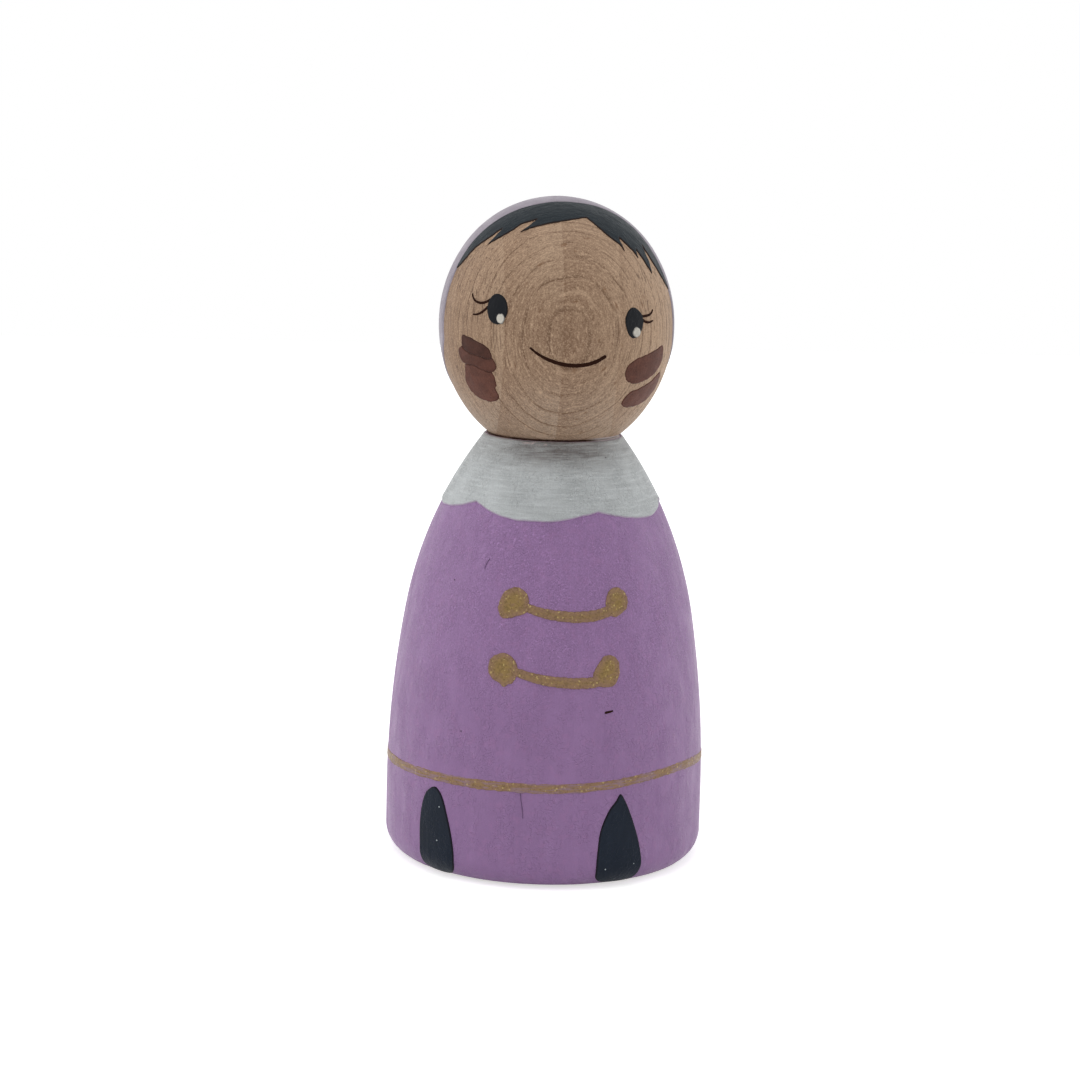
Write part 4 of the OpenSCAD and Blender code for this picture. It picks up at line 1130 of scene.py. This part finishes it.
# Widths in millimetres at the start, middle and end
LASH_WIDTHS = (0.34, 0.32, 0.2)
SMILE_WIDTHS = np.multiply((0.5, 1, 0.9), 0.52)
SMILE_COURSE = ((-0.5, 0), (-0.27, -0.93), (0.165, -1.5), (0.5, -0.45))
LASH_SHARES = {
    "right": (
        ((-0.4, 0.29), (-0.8, 0.06), (-1.34, 0.15), (-1.42, 0.42)),
        ((-0.42, 0.1), (-0.65, -0.1), (-0.9, -0.24), (-1.24, -0.23)),
    ),
    "left": (
        ((0.4, 0.2), (0.8, 0.21), (1.06, 0.22), (1.17, 0.39)),
        ((0.42, 0.14), (0.64, -0.04), (0.95, -0.02), (1.14, 0.04)),
    ),
}


def eye_chart(side):
    azimuth = EYE_AZIMUTH if side == "left" else -EYE_AZIMUTH
    return front_chart(head_form(), azimuth - sizes().eye_turn, head_middle() + EYE_UP[side])


class PEGDOLL_OT_eyes(PieceOperator, bpy.types.Operator):
    """Paint the eyes and the pale dots on them"""
    bl_idname = "peg_doll.eyes"
    bl_label = "Eyes"

    def make(self):
        dark = brushed_acrylic("eye_acrylic", colours().eyes, stroke=(1.0, 1.0, 1.0), relief=0.03, rim="#08070b",
                               rim_width=0.25, streak=0.1, roughness=0.34, sheen=0.15)
        pale = brushed_acrylic("highlight_acrylic", colours().highlights, stroke=(0.5, 0.5, 0.5), relief=0.04,
                               rim="#8d8a85", rim_width=0.16, streak=0.12)
        wide, tall = mm("eye_width"), mm("eye_height")
        for side in ("right", "left"):
            loop = smooth_loop(stretched(EYE_SHARES[side], wide, tall))
            dot = stretched(HIGHLIGHT_SHARES[side], wide, tall)
            eye = lay_paint("painted_eye_" + side, eye_chart(side), lambda u, v: in_loop(u, v, loop),
                            ((-1.9, 1.9), (-2.4, 2.4)), 0.08, mm("dark") * 0.9, roll=0.14)
            finish_piece(eye, dark, "eye_paint", "eye_" + side)

            def inside(u, v):
                across, along = (u - dot[0]) * DOT_SLIMNESS[side], (v - dot[1]) * 0.96
                return 0.65 - np.hypot(across, along) + ragged_edge(u, v, 0.05, 0.3)

            spans = (dot[0] - 0.9, dot[0] + 0.9), (dot[1] - 0.9, dot[1] + 0.9)
            spot = lay_paint("eye_dot_" + side, eye_chart(side), inside, spans, 0.06, mm("line"),
                             mm("dark") * 0.85, roll=0.2, bead=0.05)
            finish_piece(spot, pale, "highlight_paint", "eye_highlight_" + side)


class PEGDOLL_OT_lines(PieceOperator, bpy.types.Operator):
    """Draw the lashes and the smile with a fine brush"""
    bl_idname = "peg_doll.lines"
    bl_label = "Lashes and Smile"

    def make(self):
        paint = brushed_acrylic("line_acrylic", colours().lines, stroke=(0.6, 0.6, 0.6), relief=0.02, streak=0.1,
                                roughness=0.6, sheen=0.05)
        wide, tall = mm("eye_width"), mm("eye_height")
        for side in ("right", "left"):
            courses = [stretched(course, wide, tall) for course in LASH_SHARES[side]]
            eye = smooth_loop(stretched(EYE_SHARES[side], wide, tall))

            def inside(u, v):
                drawn = np.maximum(*(in_stroke(u, v, course, LASH_WIDTHS) for course in courses))
                return np.minimum(drawn, -in_loop(u, v, eye))

            spans = spans_round(np.concatenate(courses), 0.3)
            piece = lay_paint("fine_lashes_" + side, eye_chart(side), inside, spans, 0.045, mm("line"), roll=0.07)
            finish_piece(piece, paint, "line_paint", "lashes_" + side)

        course = stretched(SMILE_COURSE, mm("smile_width"), mm("smile_sag"))

        def on_smile(u, v):
            return in_stroke(u, v, course, SMILE_WIDTHS) + ragged_edge(u, v, 0.03, 0.45)

        place = front_chart(head_form(), 0, head_middle() - 2)
        smile = lay_paint("painted_smile", place, on_smile, ((-5.2, 5.2), (-2.7, 0.4)), 0.06, mm("line"), roll=0.08)
        finish_piece(smile, paint, "line_paint", "smile")


CHEEK_AZIMUTH = math.radians(49)
CHEEK_W, CHEEK_H, CHEEK_DROP = 6.7, 8.5, 5.3
CHEEK_SHARES = {
    "right_top": (
        (-0.36, 0.5), (-0.14, 0.49), (0.13, 0.43), (0.33, 0.36), (0.41, 0.27), (0.39, 0.18),
        (0.2, 0.19), (-0.1, 0.23), (-0.34, 0.31),
    ),
    "right_mid": (
        (-0.5, 0.28), (-0.3, 0.36), (0, 0.35), (0.3, 0.25), (0.46, 0.17), (0.5, 0.07), (0.42, -0.02),
        (0.25, -0.02), (0, 0.04), (-0.22, 0.06), (-0.38, 0.07), (-0.48, 0.15),
    ),
    "right_low": (
        (-0.34, 0.05), (-0.15, 0.12), (0.15, 0.1), (0.34, 0.02), (0.41, -0.12), (0.41, -0.22), (0.36, -0.29),
        (0.39, -0.4), (0.28, -0.48), (0.08, -0.51), (-0.17, -0.47), (-0.36, -0.37), (-0.44, -0.22), (-0.38, -0.07),
    ),
    "left_top": (
        (0.36, 0.41), (0.44, 0.3), (0.45, 0.13), (0.24, -0.04), (-0.05, -0.13), (-0.34, -0.17), (-0.56, -0.12),
        (-0.68, 0), (-0.66, 0.12), (-0.5, 0.22), (-0.2, 0.29), (0.12, 0.35),
    ),
    "left_low": (
        (0.5, -0.02), (0.6, -0.1), (0.6, -0.27), (0.43, -0.43), (0.15, -0.53), (-0.22, -0.56), (-0.45, -0.51),
        (-0.48, -0.41), (-0.36, -0.3), (-0.06, -0.23), (0.24, -0.14),
    ),
}


class PEGDOLL_OT_cheeks(PieceOperator, bpy.types.Operator):
    """Brush the thin brown strokes on the cheeks"""
    bl_idname = "peg_doll.cheeks"
    bl_label = "Cheek Strokes"

    def make(self):
        loops = {key: smooth_loop(stretched(shares, CHEEK_W, CHEEK_H)) for key, shares in CHEEK_SHARES.items()}
        # Each stroke, how strong its tone is, how much grain shows in it, and the stroke that lies over it
        for key, gain, mottle, over in (
            ("right_top", 0.55, 0.3, None), ("right_mid", 0.85, 0.3, "right_top"),
            ("right_low", 1.0, 0.5, "right_mid"), ("left_top", 0.95, 0.6, None), ("left_low", 1.05, 0.6, None),
        ):
            loop, cover = loops[key], loops.get(over)

            def inside(u, v):
                ragged = ragged_edge(u, v, 0.07, 0.4)
                drawn = in_loop(u, v, loop) + ragged
                return drawn if cover is None else np.minimum(drawn, -in_loop(u, v, cover) - ragged)

            azimuth = -CHEEK_AZIMUTH if key.startswith("right") else CHEEK_AZIMUTH
            place = front_chart(head_form(), azimuth, head_middle() - CHEEK_DROP)
            spans = spans_round(loop, 0.3)
            piece = lay_paint("stroke_" + key, place, inside, spans, 0.1, mm("stain"), roll=0.12, bead=0.3)
            finish_piece(piece, stained_stroke("stain_" + key, gain, mottle), "cheek_paint", "cheek_" + key)


class PEGDOLL_OT_blemishes(PieceOperator, bpy.types.Operator):
    """Leave a dark fleck and a painted-over bristle on the coat"""
    bl_idname = "peg_doll.blemishes"
    bl_label = "Fleck and Bristle"

    def make(self):
        # Name, azimuth, height, course in millimetres, widths along it, thickness, material and slot
        for name, azimuth, height, course, widths, thick, material, slot in (
            ("dark_fleck", 17.2, 23.8, ((-0.5, -0.08), (-0.2, -0.02), (0.2, 0.02), (0.5, 0.1)), (0.28, 0.3, 0.2),
             0.1, "line_acrylic", "line_paint"),
            ("bristle_low", -13.2, 11.4, ((-0.25, 1.7), (-0.2, 0.8), (0.1, -0.4), (0.15, -1.6)), (0.14, 0.13, 0.1),
             0.07, "bristle_acrylic", "lilac_paint"),
            ("bristle_high", -34.0, 42.2, ((0.25, 0.75), (0, 0.35), (-0.15, 0), (-0.2, -0.6)), (0.12, 0.14, 0.1),
             0.07, "bristle_acrylic", "lilac_paint"),
        ):
            paint = bpy.data.materials.get(material)
            if paint is None:
                paint = brushed_acrylic(material, [c * 0.5 for c in colours().coat], relief=0.02)
            place = front_chart(body_form(), math.radians(azimuth), height)
            spans = spans_round(np.asarray(course), 0.4)
            piece = lay_paint(name, place, lambda u, v: in_stroke(u, v, course, widths), spans, 0.05, thick,
                              mm("coat"), roll=0.07)
            finish_piece(piece, paint, slot)


# Camera, fitted to the doll's outline in a picture of 1080 by 1080 pixels.
PICTURE = 1080
FOCAL_PIXELS = 2413.7
CAMERA_AT = (-34.17, -325.1, 98.0)
CAMERA_AIM = (0, 0, 45)
CAMERA_ROLL = math.radians(1.62)
PICTURE_MIDDLE = (550.84, 526.6)
SENSOR = 36.0

# Light. The tent's strength in front and elsewhere, the floor's side in metres and what it adds where it is seen, and
# the name, place and size in metres, and power in watts, of each soft box, all aimed at the doll's middle.
TENT_FRONT, TENT_SIDE = 0.45, 0.8
FLOOR_SIZE, FLOOR_GLOW = 1.6, 0.6
SOFT_BOXES = (
    ("left_soft_box", (-0.7, 0.1, 0.35), 0.6, 0.9),
    ("right_soft_box", (0.7, 0.1, 0.35), 0.6, 0.6),
    ("top_soft_box", (-0.1, -0.15, 0.8), 0.7, 1.2),
)


def seen_ray(tree):
    """1 where the eye sees a surface, straight or in a gloss or a glass, and 0 where it only gives light."""
    rays = add_node(tree, "ShaderNodeLightPath")
    seen = arithmetic(tree, "MAXIMUM", rays.outputs["Is Camera Ray"], rays.outputs["Is Glossy Ray"])
    return arithmetic(tree, "MAXIMUM", seen, rays.outputs["Is Transmission Ray"])


class PEGDOLL_OT_stage(PieceOperator, bpy.types.Operator):
    """Set up the floor, the soft light and the camera"""
    bl_idname = "peg_doll.stage"
    bl_label = "Stage"

    def make(self):
        self.camera()
        self.floor()
        self.light()

    def camera(self):
        data = bpy.data.cameras.new("doll_camera")
        data.sensor_width = SENSOR
        data.lens = FOCAL_PIXELS / PICTURE * SENSOR
        data.shift_x = -(PICTURE_MIDDLE[0] - PICTURE / 2) / PICTURE
        data.shift_y = (PICTURE_MIDDLE[1] - PICTURE / 2) / PICTURE
        data.clip_start = 0.01
        camera = bpy.data.objects.new("doll_camera", data)
        bpy.context.scene.collection.objects.link(camera)
        ahead = (Vector(CAMERA_AIM) - Vector(CAMERA_AT)).normalized()
        right = ahead.cross(Vector((0, 0, 1))).normalized()
        up = right.cross(ahead)
        rolled_right = right * math.cos(CAMERA_ROLL) + up * math.sin(CAMERA_ROLL)
        rolled_up = up * math.cos(CAMERA_ROLL) - right * math.sin(CAMERA_ROLL)
        turn = Matrix((rolled_right, rolled_up, -ahead)).transposed().to_4x4()
        camera.matrix_world = Matrix.Translation(Vector(CAMERA_AT) * MM) @ turn
        bpy.context.scene.camera = camera

    def floor(self):
        deselect()
        bpy.ops.mesh.primitive_plane_add(size=FLOOR_SIZE)
        floor = start_piece("studio_floor")
        material, tree, _ = new_material("white_paper")
        paper = add_node(tree, "ShaderNodeBsdfDiffuse", Color=(0.85, 0.85, 0.85, 1))
        glow = add_node(tree, "ShaderNodeEmission", Strength=product(tree, seen_ray(tree), FLOOR_GLOW))
        both = add_node(tree, "ShaderNodeAddShader", i0=paper.outputs[0], i1=glow.outputs[0])
        add_node(tree, "ShaderNodeOutputMaterial", Surface=both.outputs[0])
        floor.data.materials.append(material)

    def light(self):
        """A white tent, a little darker in front where the viewer stands, and soft boxes outside it."""
        world = bpy.data.worlds.new("white_tent")
        bpy.context.scene.world = world
        world.use_nodes = True
        tree = world.node_tree
        tree.nodes.clear()
        way = add_node(tree, "ShaderNodeTexCoord").outputs["Generated"]
        ahead = axes(tree, way)[1]
        wall = levels(tree, ahead, -1.0, 0.2, TENT_FRONT, TENT_SIDE)
        strength = add_node(tree, "ShaderNodeMix", {"data_type": "FLOAT"}, i0=seen_ray(tree), i2=wall, i3=1.0)
        sky = add_node(tree, "ShaderNodeBackground", Color=(1, 1, 1, 1), Strength=strength.outputs[0])
        add_node(tree, "ShaderNodeOutputWorld", Surface=sky.outputs[0])
        for name, place, size, power in SOFT_BOXES:
            data = bpy.data.lights.new(name, "AREA")
            data.shape = "DISK"
            data.size = size
            data.energy = power
            lamp = bpy.data.objects.new(name, data)
            bpy.context.scene.collection.objects.link(lamp)
            lamp.location = place
            aim = Vector(CAMERA_AIM) * MM - Vector(place)
            lamp.rotation_euler = aim.to_track_quat("-Z", "Y").to_euler()
        bpy.context.scene.view_settings.view_transform = "Standard"


OPERATORS = (
    PEGDOLL_OT_wood, PEGDOLL_OT_coat, PEGDOLL_OT_collar, PEGDOLL_OT_fastenings, PEGDOLL_OT_hem, PEGDOLL_OT_boots,
    PEGDOLL_OT_hood, PEGDOLL_OT_hair, PEGDOLL_OT_eyes, PEGDOLL_OT_lines, PEGDOLL_OT_cheeks,
    PEGDOLL_OT_blemishes, PEGDOLL_OT_stage,
)


class PEGDOLL_PT_panel(bpy.types.Panel):
    """Sidebar panel with the doll's pieces, in the order in which they are made"""
    bl_idname = "PEGDOLL_PT_panel"
    bl_label = "Peg Doll"
    bl_space_type = "VIEW_3D"
    bl_region_type = "UI"
    bl_category = "Peg Doll"

    def draw(self, context):
        for group in (sizes(), colours()):
            box = self.layout.box()
            for name in group.__annotations__:
                box.prop(group, name)
        for operator in OPERATORS:
            self.layout.operator(operator.bl_idname)


CLASSES = (PegDollSizes, PegDollColours, *OPERATORS, PEGDOLL_PT_panel)


def register():
    for each in CLASSES:
        bpy.utils.register_class(each)
    bpy.types.Scene.peg_doll_sizes = PointerProperty(type=PegDollSizes)
    bpy.types.Scene.peg_doll_colours = PointerProperty(type=PegDollColours)


def unregister():
    del bpy.types.Scene.peg_doll_colours
    del bpy.types.Scene.peg_doll_sizes
    for each in reversed(CLASSES):
        bpy.utils.unregister_class(each)


def main():
    register()
    for operator in OPERATORS:
        group, name = operator.bl_idname.split(".")
        getattr(getattr(bpy.ops, group), name)()


if __name__ == "__main__":
    main()
